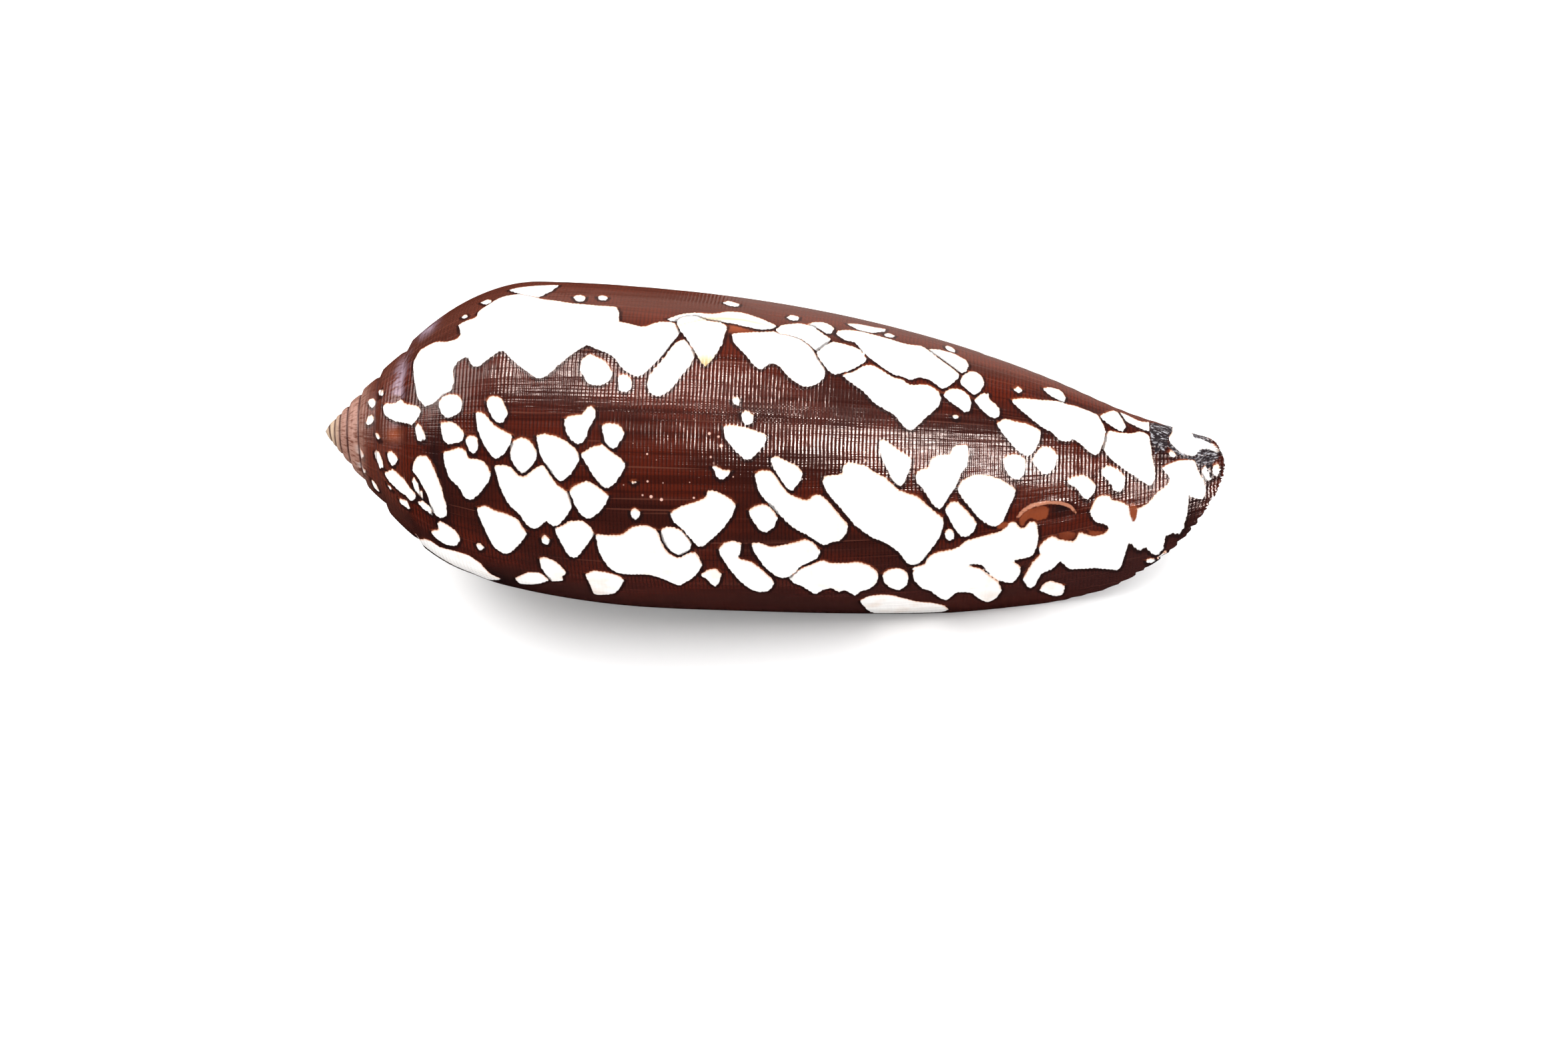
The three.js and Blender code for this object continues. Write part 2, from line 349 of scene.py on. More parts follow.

# %% [markdown]
# ## Relief that can be felt
# A shell keeps a record of each pause in its growth: faint ridges run along it, each a former lip. Near the
# front the fine threads swell into cords, a groove marks the suture between two whorls, the old break near
# the lip healed as a rough arch, and the lip itself is chipped. These shapes are in the mesh, pushed in and
# out by formulas, so that they catch the light from any side.
# Random steps in growth are seeded.

# %% Growth ridges, cords and grooves
RELIEF_SEED = 5
RIDGE_HEIGHT = 0.05
RIDGE_COUNT = 361
RIDGE_START = (10, 22)
PAUSE_DEPTH = 0.09
PAUSE_COUNT = 61
PAUSE_DEGREES = 6.0
CORD_HEIGHT = 0.05
CORD_PERIOD = 1.9
CORD_START = (74.0, 90.0)
SUTURE_GROOVE = 0.16
SUTURE_HALF = 0.3
GROOVE_START = (0.8, 3)
CHIP_COUNT = 241
relief_rng = np.random.default_rng(RELIEF_SEED)
ridge_steps = relief_rng.random(RIDGE_COUNT)
pause_steps = relief_rng.random(PAUSE_COUNT)
chip_steps = relief_rng.random(CHIP_COUNT) ** 2


def eased(value, low, high):
    t = np.clip((value - low) / (high - low), 0, 1)
    return t * t * (3 - 2 * t)


def growth_relief(along, before):
    ridges = RIDGE_HEIGHT * (np.interp(before, np.arange(RIDGE_COUNT), ridge_steps) - 1)
    pauses = PAUSE_DEPTH * (np.interp(before, np.arange(PAUSE_COUNT) * PAUSE_DEGREES, pause_steps) - 1)
    return eased(along, *RIDGE_START) * (ridges + pauses)


def cord_relief(along):
    waves = (np.cos(TURN * along / CORD_PERIOD) - 1) / 2
    return CORD_HEIGHT * waves * eased(along, *CORD_START)


def suture_distance(along, angle):
    """How far a place lies from the nearest line between two whorls, in mm along the axis."""
    nearest = np.full(len(along), SHELL_LENGTH)
    for turns_back in range(SPIRE_TURNS + 1):
        nearest = np.minimum(nearest, np.abs(along - suture_along(angle - TURN * turns_back)))
    return nearest


def groove_relief(along, angle):
    groove = -SUTURE_GROOVE * eased(SUTURE_HALF - suture_distance(along, angle), 0, SUTURE_HALF)
    return groove * eased(along, *GROOVE_START)


print("growth pauses in the last turn:", PAUSE_COUNT - 1)

# %% The healed break and the chipped lip
SCAR = (85.0, 57.0)
SCAR_HALF = (3.3, 9.3)
ARCH_HEIGHT = 0.14
ARCH_WIDTH = 0.08
ARCH_FOOT = (SCAR[1], SCAR[1] + 4)
SCAR_DEPTH = 0.2
HOLLOW_RIM = 1.1
HOLLOW_SLOPE = 0.5
HOLLOW_FOOT = (SCAR[1] - 4, SCAR[1] + 2)
CHIP_DEPTH = 0.55
CHIP_REACH = 1.4
CHIPS_PER_DEGREE = 1.4
CHIP_START = (72, 78)


def scar_distance(along, before):
    """1 on the scar's arch, less inside it; it is half an oval with its foot towards the lip."""
    return np.hypot((along - SCAR[0]) / SCAR_HALF[0], (before - SCAR[1]) / SCAR_HALF[1])


def arch_relief(along, before):
    off = (scar_distance(along, before) - 1) / ARCH_WIDTH
    return ARCH_HEIGHT * np.exp(-(off**2)) * eased(before, *ARCH_FOOT)


def hollow_relief(along, before):
    deep = eased(HOLLOW_RIM - scar_distance(along, before), 0, HOLLOW_SLOPE)
    return -SCAR_DEPTH * deep * eased(before, *HOLLOW_FOOT)


def chip_back(along, angle):
    """How far the front edge is broken back, in mm along the shell."""
    before = np.degrees(-angle)
    chips = CHIP_DEPTH * np.interp(before * CHIPS_PER_DEGREE, np.arange(CHIP_COUNT), chip_steps)
    near_rim = np.exp(-np.maximum(edge_along(angle) - along, 0) / CHIP_REACH)
    return chips * near_rim * eased(along, *CHIP_START)


print("the break lies at mm from the apex:", SCAR[0], "and degrees before the lip:", SCAR[1])

# %% Push the relief into the mesh
LINED = 0.5
LEAST_RADIUS = 1.0


def push_out(along, angle):
    """How far the outside is pushed outwards, in mm; mostly inwards, to stay inside the frame's box."""
    before = -np.degrees(angle)
    grown = growth_relief(along, before) + cord_relief(along)
    return grown + arch_relief(along, before) + hollow_relief(along, before) + groove_relief(along, angle)


mesh_along = np.array([vert[along_layer] for vert in shell_mesh.verts])
mesh_angle = np.array([vert[angle_layer] for vert in shell_mesh.verts])
outside = np.array([vert[lining_layer] for vert in shell_mesh.verts]) < LINED
mesh_places = np.array([vert.co for vert in shell_mesh.verts])
coil_radius = np.hypot(mesh_places[:, 1], mesh_places[:, 2])
pushed = push_out(mesh_along, mesh_angle)
moved = 1 + np.where(outside, pushed, 0) / np.maximum(coil_radius, LEAST_RADIUS)
mesh_places[:, 0] -= chip_back(mesh_along, mesh_angle)
mesh_places[:, 1:] *= moved[:, None]
for vert, new_place in zip(shell_mesh.verts, mesh_places):
    vert.co = new_place
print("deepest push in mm:", round(float(pushed[outside].min()), 3))

# %% [markdown]
# ## Laying the shell down
# The shell was grown about its own axis. It now turns on that axis until it lies on its mouth side, pitches a
# little because its shoulder is fatter than its front, and goes to the middle of the frame's box. The finer
# mesh bulges past the frame's flat facets by hairs, so it is shrunk by that much, and the worn spot that it
# rests on is pressed flat on the floor.

# %% Lay it down
REST_TURN = math.radians(127.2)
REST_PITCH = math.radians(6.3)
WORN_DEPTH = 0.25


def mesh_box():
    points = np.array([vert.co for vert in shell_mesh.verts])
    return points.min(axis=0), points.max(axis=0)


lying = Matrix.Rotation(REST_PITCH, 4, "Y") @ Matrix.Rotation(REST_TURN, 4, "X")
bmesh.ops.transform(shell_mesh, matrix=Matrix.Scale(MM, 4) @ lying, verts=shell_mesh.verts)
low, high = mesh_box()
cad_low, cad_high = np.array(cad_box[0]), np.array(cad_box[1])
worn_off = np.array([0, 0, WORN_DEPTH * MM])
shrink = float(((cad_high - cad_low) / (high - low - worn_off)).min().clip(max=1.0))
floor_middle = Vector(((low[0] + high[0]) / 2, (low[1] + high[1]) / 2, low[2] + WORN_DEPTH * MM))
frame_middle = Vector(((cad_low[0] + cad_high[0]) / 2, (cad_low[1] + cad_high[1]) / 2, cad_low[2]))
placing = Matrix.Translation(frame_middle) @ Matrix.Scale(shrink, 4) @ Matrix.Translation(-floor_middle)
bmesh.ops.transform(shell_mesh, matrix=placing, verts=shell_mesh.verts)
for vert in shell_mesh.verts:
    vert.co.z = max(vert.co.z, cad_low[2])
coil_to_world = placing @ Matrix.Scale(MM, 4) @ lying
print("shrunk to", round(shrink, 5), "of its size; the coil starts at", coil_to_world.translation)

# %% [markdown]
# ## One object
# A shell grows as one piece, so it is one object. Its faces are shaded smooth, except over edges that are
# bent sharply, such as the rim of the lip. Splitting it at the lip would give the same picture, but then the
# pieces would have seams that the real shell doesn't have.

# %% Make the object
SHARP_ANGLE = math.radians(50)

for face in shell_mesh.faces:
    face.smooth = True
for edge in shell_mesh.edges:
    edge.smooth = edge.calc_face_angle(0.0) < SHARP_ANGLE
shell_data = bpy.data.meshes.new("cone_shell")
shell_mesh.to_mesh(shell_data)
shell = bpy.data.objects.new("cone_shell", shell_data)
bpy.context.scene.collection.objects.link(shell)
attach(shell, "root")
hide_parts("shell")
print("triangles:", sum(len(face.vertices) - 2 for face in shell_data.polygons))

# %% [markdown]
# ## The camera
# The camera looks across the shell at a growth angle of 94 degrees before the lip. It is placed in the
# shell's own frame and carried along when the shell is laid down, because the angles that were read from the
# photograph are angles about the shell's axis. The markings need it too: they are carried to the shell along
# its sight lines.

# %% Camera
VIEW_ANGLE = math.radians(-94)
VIEW_TILT = math.radians(3)
VIEW_ROLL = math.radians(1.4)
VIEW_DISTANCE = 430.0
AIM_DOWN = math.radians(1.256)
AIM_RIGHT = math.radians(0.187)
LENS_MM = 84.58
SENSOR_MM = 36.0
CLIP_START = 0.01

axis = Vector((1, 0, 0))
outward = Vector((0, -math.sin(VIEW_ANGLE), math.cos(VIEW_ANGLE)))
backward = math.sin(VIEW_TILT) * axis + math.cos(VIEW_TILT) * outward
right = (axis - backward * backward.dot(axis)).normalized()
upward = backward.cross(right)
turned = Matrix((right, upward, backward)).transposed().to_4x4()
turned = turned @ Matrix.Rotation(VIEW_ROLL, 4, "Z")
seat = Matrix.Translation(SHELL_LENGTH / 2 * axis + VIEW_DISTANCE * backward) @ turned
seat = seat @ Matrix.Rotation(-AIM_RIGHT, 4, "Y") @ Matrix.Rotation(-AIM_DOWN, 4, "X")
camera_data = bpy.data.cameras.new("camera")
camera_data.lens = LENS_MM
camera_data.sensor_width = SENSOR_MM
camera_data.clip_start = CLIP_START
camera = bpy.data.objects.new("camera", camera_data)
bpy.context.scene.collection.objects.link(camera)
camera_place, camera_turn, _ = (coil_to_world @ seat).decompose()
camera.matrix_world = Matrix.LocRotScale(camera_place, camera_turn, None)
bpy.context.scene.camera = camera
print("camera stands at, in mm:", [round(c / MM, 1) for c in camera_place])

# %% [markdown]
# ## Where the white patches lie
# The shell is painted with white "tents" between red-brown ground. On the real animal they are gaps in the
# colour that the lip lays down. No picture is pasted on: the corners of each patch on the seen side were
# picked in enlarged crops of the photograph, and they are listed by crop, in pixels of the crop. A
# sight line through the camera carries each corner to the shell, so that the patch is then a shape in growth
# coordinates.

# %% Patches: upper shoulder
UPPER_SHOULDER = [
    [(298, 650), (330, 840), (400, 912), (455, 862), (520, 812), (585, 775), (603, 700), (592, 620),
     (625, 562), (700, 516), (738, 592), (785, 600), (960, 463), (1050, 562), (1238, 697), (1310, 655),
     (1420, 555), (1600, 425), (1800, 520), (1840, 260), (1830, 150), (1680, 140), (1500, 125),
     (1330, 100), (1240, 88), (1130, 50), (960, 75), (880, 120), (790, 180), (770, 230), (690, 255),
     (635, 285), (658, 350), (620, 395), (540, 415), (470, 410), (350, 470), (300, 560)],
    [(795, 120), (850, 95), (890, 105), (850, 135)],
    [(655, 225), (690, 205), (705, 225), (675, 240)],
    [(1000, 25), (1180, -5), (1400, -15), (1330, 35), (1240, 80), (1100, 55)],
    [(1490, 75), (1540, 58), (1590, 75), (1580, 105), (1530, 112)],
    [(490, 860), (520, 820), (580, 803), (640, 815), (668, 860), (650, 940), (560, 988), (515, 960),
     (490, 900)],
    [(840, 860), (880, 815), (955, 830), (985, 890), (1005, 950), (960, 1030), (900, 1000), (870, 940)],
]
print("patches, upper shoulder:", len(UPPER_SHOULDER))

# %% Patches: lower shoulder
LOWER_SHOULDER = [
    [(500, -35), (590, -40), (640, -5), (682, 50), (660, 110), (560, 130), (520, 100), (508, 20)],
    [(762, -110), (800, -115), (845, -85), (890, -25), (950, 20), (1045, 60), (1020, 130), (980, 200),
     (920, 240), (880, 215), (820, 120), (785, 40)],
    [(1428, -60), (1470, -85), (1560, -90), (1600, -150), (1650, -160), (1665, -90), (1615, 10),
     (1580, 100), (1530, 132), (1480, 100), (1440, 30)],
    [(690, 90), (720, 62), (770, 70), (785, 130), (760, 200), (725, 195), (700, 140)],
    [(520, 190), (570, 175), (650, 150), (690, 180), (710, 235), (760, 235), (830, 260), (880, 340),
     (860, 410), (800, 490), (740, 545), (690, 540), (640, 450), (570, 390), (535, 290)],
    [(1025, 190), (1035, 110), (1100, 75), (1170, 100), (1225, 180), (1210, 260), (1150, 330),
     (1110, 352), (1060, 300), (1030, 240)],
    [(1220, 60), (1290, 50), (1380, 75), (1450, 110), (1520, 170), (1548, 240), (1480, 350), (1410, 408),
     (1370, 390), (1320, 320), (1260, 240), (1235, 150)],
    [(905, 290), (960, 280), (1030, 300), (1085, 365), (1130, 375), (1200, 315), (1270, 280),
     (1340, 390), (1380, 440), (1430, 470), (1465, 500), (1485, 600), (1430, 690), (1380, 740),
     (1340, 745), (1310, 715), (1290, 700), (1250, 745), (1200, 765), (1150, 740), (1090, 650),
     (1010, 580), (960, 480), (925, 380)],
    [(775, 600), (850, 590), (900, 625), (980, 645), (1080, 690), (1110, 740), (1150, 800), (1100, 870),
     (1020, 945), (970, 950), (900, 900), (830, 760), (785, 660)],
    [(1350, 755), (1420, 740), (1460, 705), (1560, 700), (1620, 740), (1655, 800), (1600, 880),
     (1530, 970), (1480, 985), (1440, 930), (1380, 820)],
    [(1240, 985), (1280, 970), (1370, 1010), (1450, 1090), (1410, 1120), (1420, 1150), (1330, 1160),
     (1260, 1060)],
    [(1255, 840), (1280, 805), (1320, 840), (1310, 885), (1270, 880)],
    [(765, 880), (790, 860), (830, 900), (800, 938)],
    [(1060, 1130), (1150, 1088), (1250, 1090), (1320, 1150), (1200, 1180), (1090, 1175)],
    [(475, 695), (540, 720), (620, 780), (650, 840), (620, 890), (560, 890), (500, 860), (430, 800),
     (440, 770), (490, 775)],
    [(300, 800), (400, 830), (480, 895), (600, 925), (720, 965), (800, 1020), (870, 1100), (960, 1140),
     (860, 1160), (700, 1115), (560, 1050), (440, 975), (340, 880)],
]
print("patches, lower shoulder:", len(LOWER_SHOULDER))

# %% Patches: upper middle
UPPER_MIDDLE = [
    [(60, 420), (300, 520), (345, 590), (400, 640), (470, 672), (520, 655), (590, 590), (680, 500),
     (750, 400), (795, 345), (765, 275), (720, 262), (640, 262), (590, 275), (530, 302), (480, 292),
     (350, 262), (200, 250), (100, 300)],
    [(45, 620), (60, 540), (120, 500), (240, 560), (290, 640), (270, 700), (200, 740), (110, 730)],
    [(330, 670), (380, 650), (430, 690), (435, 760), (390, 790), (340, 780)],
    [(545, 720), (580, 640), (640, 580), (700, 500), (760, 420), (830, 390), (900, 470), (905, 520),
     (870, 590), (800, 670), (760, 730), (700, 790), (640, 820), (570, 800)],
    [(770, 270), (800, 230), (900, 215), (1000, 255), (1090, 265), (1150, 290), (1110, 430), (1050, 530),
     (985, 600), (950, 560), (900, 470), (840, 380), (800, 330)],
    [(690, 245), (800, 205), (900, 192), (1050, 205), (1150, 185), (1260, 192), (1380, 230), (1480, 270),
     (1525, 295), (1480, 315), (1400, 320), (1300, 300), (1200, 275), (1090, 260), (950, 240),
     (880, 235), (780, 262)],
    [(1180, 350), (1200, 420), (1290, 510), (1350, 590), (1400, 622), (1440, 590), (1480, 570),
     (1540, 590), (1610, 680), (1720, 752), (1800, 737), (1872, 690), (1886, 620), (1840, 550),
     (1810, 500), (1785, 455), (1700, 390), (1600, 355), (1500, 335), (1400, 338), (1250, 345)],
    [(1185, 850), (1215, 812), (1245, 840), (1235, 890), (1200, 880)],
    [(1258, 940), (1300, 918), (1345, 960), (1340, 1020), (1290, 1038), (1262, 1000)],
    [(180, 75), (215, 60), (255, 78), (240, 102), (195, 100)],
    [(1115, 120), (1160, 103), (1245, 130), (1225, 150), (1160, 140)],
]
print("patches, upper middle:", len(UPPER_MIDDLE))

# %% Patches: lower middle
LOWER_MIDDLE = [
    [(-35, 480), (0, 440), (100, 400), (170, 440), (265, 515), (240, 570), (190, 640), (120, 690),
     (60, 670), (10, 590), (-10, 540)],
    [(55, 200), (130, 150), (220, 130), (250, 165), (340, 225), (385, 270), (370, 330), (310, 420),
     (250, 465), (215, 450), (150, 370), (95, 280), (65, 240)],
    [(1120, -10), (1180, -15), (1280, 0), (1340, 20), (1455, 60), (1430, 130), (1370, 200), (1320, 245),
     (1275, 240), (1220, 190), (1135, 90)],
    [(210, -15), (250, -30), (340, -20), (380, 40), (360, 90), (310, 160), (280, 170), (230, 110)],
    [(1035, 300), (1065, 285), (1110, 320), (1190, 325), (1140, 380), (1095, 400), (1068, 370),
     (1060, 335)],
    [(1358, 350), (1400, 325), (1475, 325), (1520, 375), (1560, 440), (1600, 490), (1650, 522),
     (1750, 555), (1790, 515), (1840, 505), (1900, 550), (1950, 610), (2020, 690), (2055, 730),
     (2040, 800), (2000, 850), (1920, 865), (1880, 895), (1750, 810), (1650, 760), (1540, 660),
     (1480, 600), (1410, 520), (1370, 440)],
    [(1475, 230), (1520, 213), (1600, 260), (1680, 290), (1718, 350), (1690, 410), (1640, 478),
     (1605, 470), (1545, 385), (1490, 300)],
    [(1305, 630), (1350, 595), (1430, 575), (1480, 610), (1530, 680), (1500, 750), (1440, 795),
     (1390, 770), (1345, 710)],
    [(722, 640), (800, 595), (900, 565), (990, 530), (1000, 480), (1060, 475), (1170, 535), (1215, 580),
     (1190, 660), (1120, 760), (1010, 860), (960, 900), (925, 895), (880, 840), (810, 760), (745, 710)],
    [(650, 775), (690, 748), (740, 750), (810, 775), (850, 820), (885, 870), (860, 930), (790, 965),
     (740, 940), (690, 890), (660, 840)],
    [(162, 800), (250, 810), (360, 810), (440, 745), (540, 735), (620, 765), (660, 870), (700, 940),
     (780, 985), (850, 950), (905, 930), (940, 980), (962, 1030), (930, 1090), (880, 1140), (830, 1165),
     (790, 1190), (740, 1170), (660, 1135), (560, 1105), (400, 1105), (330, 1095), (270, 1060),
     (210, 980), (180, 900)],
    [(425, 630), (455, 605), (495, 630), (490, 680), (460, 700), (432, 670)],
    [(430, 415), (450, 395), (470, 415), (450, 435)],
    [(945, 1110), (1000, 1070), (1070, 1060), (1105, 1100), (1095, 1150), (1060, 1200), (1030, 1180),
     (1000, 1140)],
    [(1082, 920), (1120, 870), (1190, 850), (1260, 870), (1245, 930), (1230, 985), (1330, 1010),
     (1400, 1060), (1490, 1140), (1500, 1180), (1460, 1230), (1400, 1240), (1330, 1220), (1250, 1160),
     (1180, 1080), (1110, 980)],
    [(1328, 870), (1390, 865), (1450, 890), (1490, 900), (1560, 885), (1640, 870), (1700, 850),
     (1740, 840), (1800, 870), (1845, 925), (1830, 980), (1770, 1010), (1690, 1050), (1640, 1110),
     (1570, 1135), (1520, 1120), (1440, 1060), (1380, 980), (1345, 930)],
    [(85, 1100), (150, 1075), (250, 1090), (340, 1115), (375, 1145), (350, 1200), (300, 1250),
     (160, 1260), (120, 1180)],
]
print("patches, lower middle:", len(LOWER_MIDDLE))

# %% Patches: upper waist
UPPER_WAIST = [
    [(15, 220), (60, 185), (190, 172), (290, 195), (370, 255), (425, 290), (400, 335), (320, 385),
     (285, 350), (200, 285), (100, 258), (30, 250)],
    [(95, 130), (130, 108), (190, 125), (180, 150), (130, 152)],
    [(1395, 600), (1430, 550), (1500, 530), (1560, 570), (1575, 630), (1540, 690), (1500, 712),
     (1450, 670), (1400, 630)],
    [(230, 190), (300, 165), (380, 165), (450, 205), (440, 240), (400, 255), (340, 215)],
    [(320, 390), (420, 320), (450, 310), (510, 325), (600, 350), (650, 375), (690, 430), (685, 460),
     (620, 500), (560, 530), (500, 545), (450, 560), (410, 530), (370, 480), (335, 430)],
    [(465, 255), (480, 228), (560, 222), (640, 232), (760, 262), (880, 295), (1000, 332), (1120, 345),
     (1160, 380), (1240, 440), (1330, 505), (1385, 550), (1382, 580), (1330, 630), (1262, 665),
     (1225, 640), (1170, 595), (1090, 575), (1020, 598), (960, 570), (890, 555), (800, 495), (710, 425),
     (640, 355), (605, 310), (530, 300)],
    [(1160, 365), (1240, 370), (1350, 400), (1440, 450), (1460, 490), (1440, 530), (1400, 550),
     (1340, 500), (1240, 430), (1170, 390)],
    [(540, 175), (640, 180), (760, 205), (840, 215), (830, 235), (740, 245), (650, 232), (590, 200)],
    [(825, 255), (860, 245), (905, 265), (890, 280), (840, 275)],
    [(1280, 350), (1310, 340), (1355, 370), (1350, 392), (1310, 380)],
    [(505, 560), (600, 535), (680, 487), (740, 487), (800, 520), (900, 585), (960, 590), (1010, 635),
     (1100, 632), (1160, 635), (1225, 675), (1252, 730), (1240, 790), (1170, 850), (1100, 915),
     (1060, 955), (1020, 978), (975, 950), (930, 890), (890, 850), (800, 800), (740, 760), (690, 700),
     (640, 660), (560, 605)],
    [(1265, 710), (1290, 680), (1340, 660), (1410, 670), (1465, 720), (1478, 760), (1470, 830),
     (1430, 840), (1380, 800), (1310, 755)],
    [(1495, 750), (1560, 700), (1605, 690), (1610, 740), (1685, 800), (1690, 860), (1660, 890),
     (1610, 870), (1550, 810)],
    [(1335, 875), (1355, 850), (1385, 870), (1370, 900)],
]
print("patches, upper waist:", len(UPPER_WAIST))

# %% Patches: lower waist
LOWER_WAIST = [
    [(362, 265), (375, 215), (440, 210), (510, 205), (520, 140), (545, 112), (620, 125), (690, 140),
     (740, 180), (840, 230), (880, 275), (930, 320), (990, 345), (1080, 370), (1130, 420), (1200, 480),
     (1265, 530), (1270, 580), (1240, 680), (1180, 760), (1130, 830), (1080, 880), (1020, 885),
     (990, 860), (940, 790), (870, 740), (840, 720), (740, 680), (680, 640), (600, 580), (520, 480),
     (440, 390), (400, 340)],
    [(105, 975), (180, 920), (280, 880), (370, 845), (420, 870), (540, 870), (640, 860), (720, 890),
     (770, 930), (785, 970), (760, 1030), (700, 1070), (650, 1080), (610, 1115), (570, 1095),
     (530, 1070), (490, 1090), (430, 1055), (370, 1070), (310, 1105), (250, 1070), (210, 1040),
     (150, 1020)],
    [(810, 960), (850, 920), (930, 905), (990, 930), (1010, 980), (990, 1040), (940, 1075), (880, 1060),
     (830, 1020)],
    [(640, 1150), (700, 1120), (790, 1105), (880, 1110), (1000, 1140), (1080, 1160), (1200, 1170),
     (1280, 1190), (1310, 1220), (1250, 1250), (1000, 1255), (760, 1250), (690, 1210)],
    [(790, -50), (830, -60), (900, 0), (960, 40), (1035, 85), (1010, 180), (980, 260), (955, 298),
     (920, 285), (880, 240), (850, 170), (800, 70)],
    [(1060, 210), (1090, 170), (1160, 155), (1180, 80), (1240, 60), (1310, 60), (1350, -10), (1450, -20),
     (1460, 60), (1450, 140), (1400, 200), (1370, 280), (1310, 370), (1270, 440), (1235, 470),
     (1200, 440), (1150, 370), (1110, 300), (1070, 270)],
    [(1370, 300), (1410, 250), (1500, 205), (1590, 208), (1690, 237), (1812, 312), (1800, 375),
     (1750, 475), (1712, 562), (1662, 600), (1612, 587), (1530, 530), (1460, 440), (1400, 370)],
    [(1280, 470), (1320, 410), (1370, 405), (1430, 460), (1500, 540), (1520, 570), (1500, 630),
     (1450, 672), (1400, 670), (1360, 620), (1320, 550)],
    [(1280, 640), (1310, 605), (1350, 630), (1345, 690), (1310, 705), (1285, 680)],
    [(1025, 910), (1090, 890), (1130, 880), (1150, 830), (1210, 790), (1330, 770), (1400, 740),
     (1440, 700), (1520, 680), (1625, 650), (1706, 631), (1762, 569), (1806, 556), (1844, 612),
     (1888, 600), (1919, 552), (1969, 569), (1984, 675), (1965, 762), (1931, 819), (1862, 837),
     (1787, 850), (1850, 900), (1837, 962), (1787, 1019), (1725, 1012), (1660, 985), (1600, 935),
     (1565, 885), (1490, 872), (1300, 950), (1100, 950)],
    [(1035, 920), (1300, 850), (1480, 893), (1555, 915), (1600, 955), (1680, 1005), (1706, 1075),
     (1662, 1137), (1600, 1165), (1540, 1140), (1480, 1090), (1370, 1085), (1330, 1120), (1290, 1150),
     (1240, 1130), (1180, 1080), (1110, 1060), (1050, 1000)],
]
print("patches, lower waist:", len(LOWER_WAIST))

# %% Patches: upper front
UPPER_FRONT = [
    [(770, 520), (785, 450), (810, 420), (870, 435), (940, 440), (1000, 425), (1050, 450), (1062, 560),
     (1080, 640), (1085, 700), (1060, 760), (1000, 720), (940, 680), (880, 640), (830, 600), (790, 560)],
    [(172, 610), (190, 575), (240, 560), (300, 580), (312, 620), (300, 680), (270, 715), (230, 710),
     (195, 670)],
    [(345, 600), (375, 545), (415, 510), (470, 530), (502, 570), (490, 630), (440, 690), (400, 670),
     (360, 625)],
    [(132, 380), (180, 350), (240, 365), (320, 380), (400, 420), (390, 490), (360, 550), (330, 575),
     (290, 565), (230, 510), (180, 450)],
    [(215, 235), (290, 228), (420, 240), (500, 245), (560, 265), (640, 285), (700, 310), (745, 330),
     (770, 380), (790, 430), (775, 490), (750, 560), (720, 570), (690, 550), (640, 500), (590, 470),
     (560, 490), (510, 480), (470, 430), (420, 410), (380, 380), (330, 340), (270, 290)],
    [(412, 170), (450, 160), (520, 180), (548, 220), (540, 262), (500, 235), (440, 200)],
    [(235, 175), (265, 155), (290, 180), (265, 200)],
    [(752, 335), (800, 310), (850, 300), (885, 350), (910, 400), (890, 430), (850, 410), (790, 370)],
    [(870, 310), (920, 330), (1000, 370), (1050, 370), (1050, 430), (990, 405), (910, 365)],
    [(1165, 560), (1185, 532), (1215, 570), (1190, 588)],
]
print("patches, upper front:", len(UPPER_FRONT))

# %% Patches: lower front
LOWER_FRONT = [
    [(556, 120), (600, 95), (660, 85), (710, 125), (730, 150), (715, 200), (680, 240), (650, 220),
     (610, 160), (570, 145)],
    [(765, 55), (800, 28), (850, 45), (905, 95), (900, 160), (870, 195), (840, 180), (810, 125), (775, 95)],
    [(940, 270), (980, 290), (1040, 260), (1090, 200), (1110, 180), (1150, 155), (1180, 110), (1125, 45),
     (1160, 25), (1230, 0), (1320, -5), (1350, 80), (1385, 130), (1390, 190), (1370, 235), (1320, 225),
     (1285, 205), (1282, 300), (1260, 400), (1240, 440), (1180, 435), (1145, 455), (1140, 520),
     (1110, 570), (1070, 560), (1030, 520), (990, 540), (950, 510), (930, 480), (920, 420), (935, 380),
     (940, 330)],
    [(695, 300), (725, 235), (760, 208), (805, 210), (830, 240), (890, 250), (930, 280), (950, 370),
     (1010, 400), (985, 470), (925, 490), (880, 640), (860, 660), (740, 645), (570, 655), (515, 600),
     (470, 650), (400, 680), (360, 755), (330, 770), (290, 710), (350, 610), (400, 560), (385, 530),
     (410, 490), (470, 450), (510, 475), (600, 488), (630, 430), (660, 440), (720, 455), (780, 440),
     (808, 410), (795, 385), (730, 372), (702, 330)],
    [(388, 780), (420, 735), (460, 720), (545, 750), (530, 810), (480, 815), (440, 800)],
    [(1362, 60), (1390, 20), (1420, 50), (1430, 110), (1400, 130), (1370, 110)],
]
print("patches, lower front:", len(LOWER_FRONT))

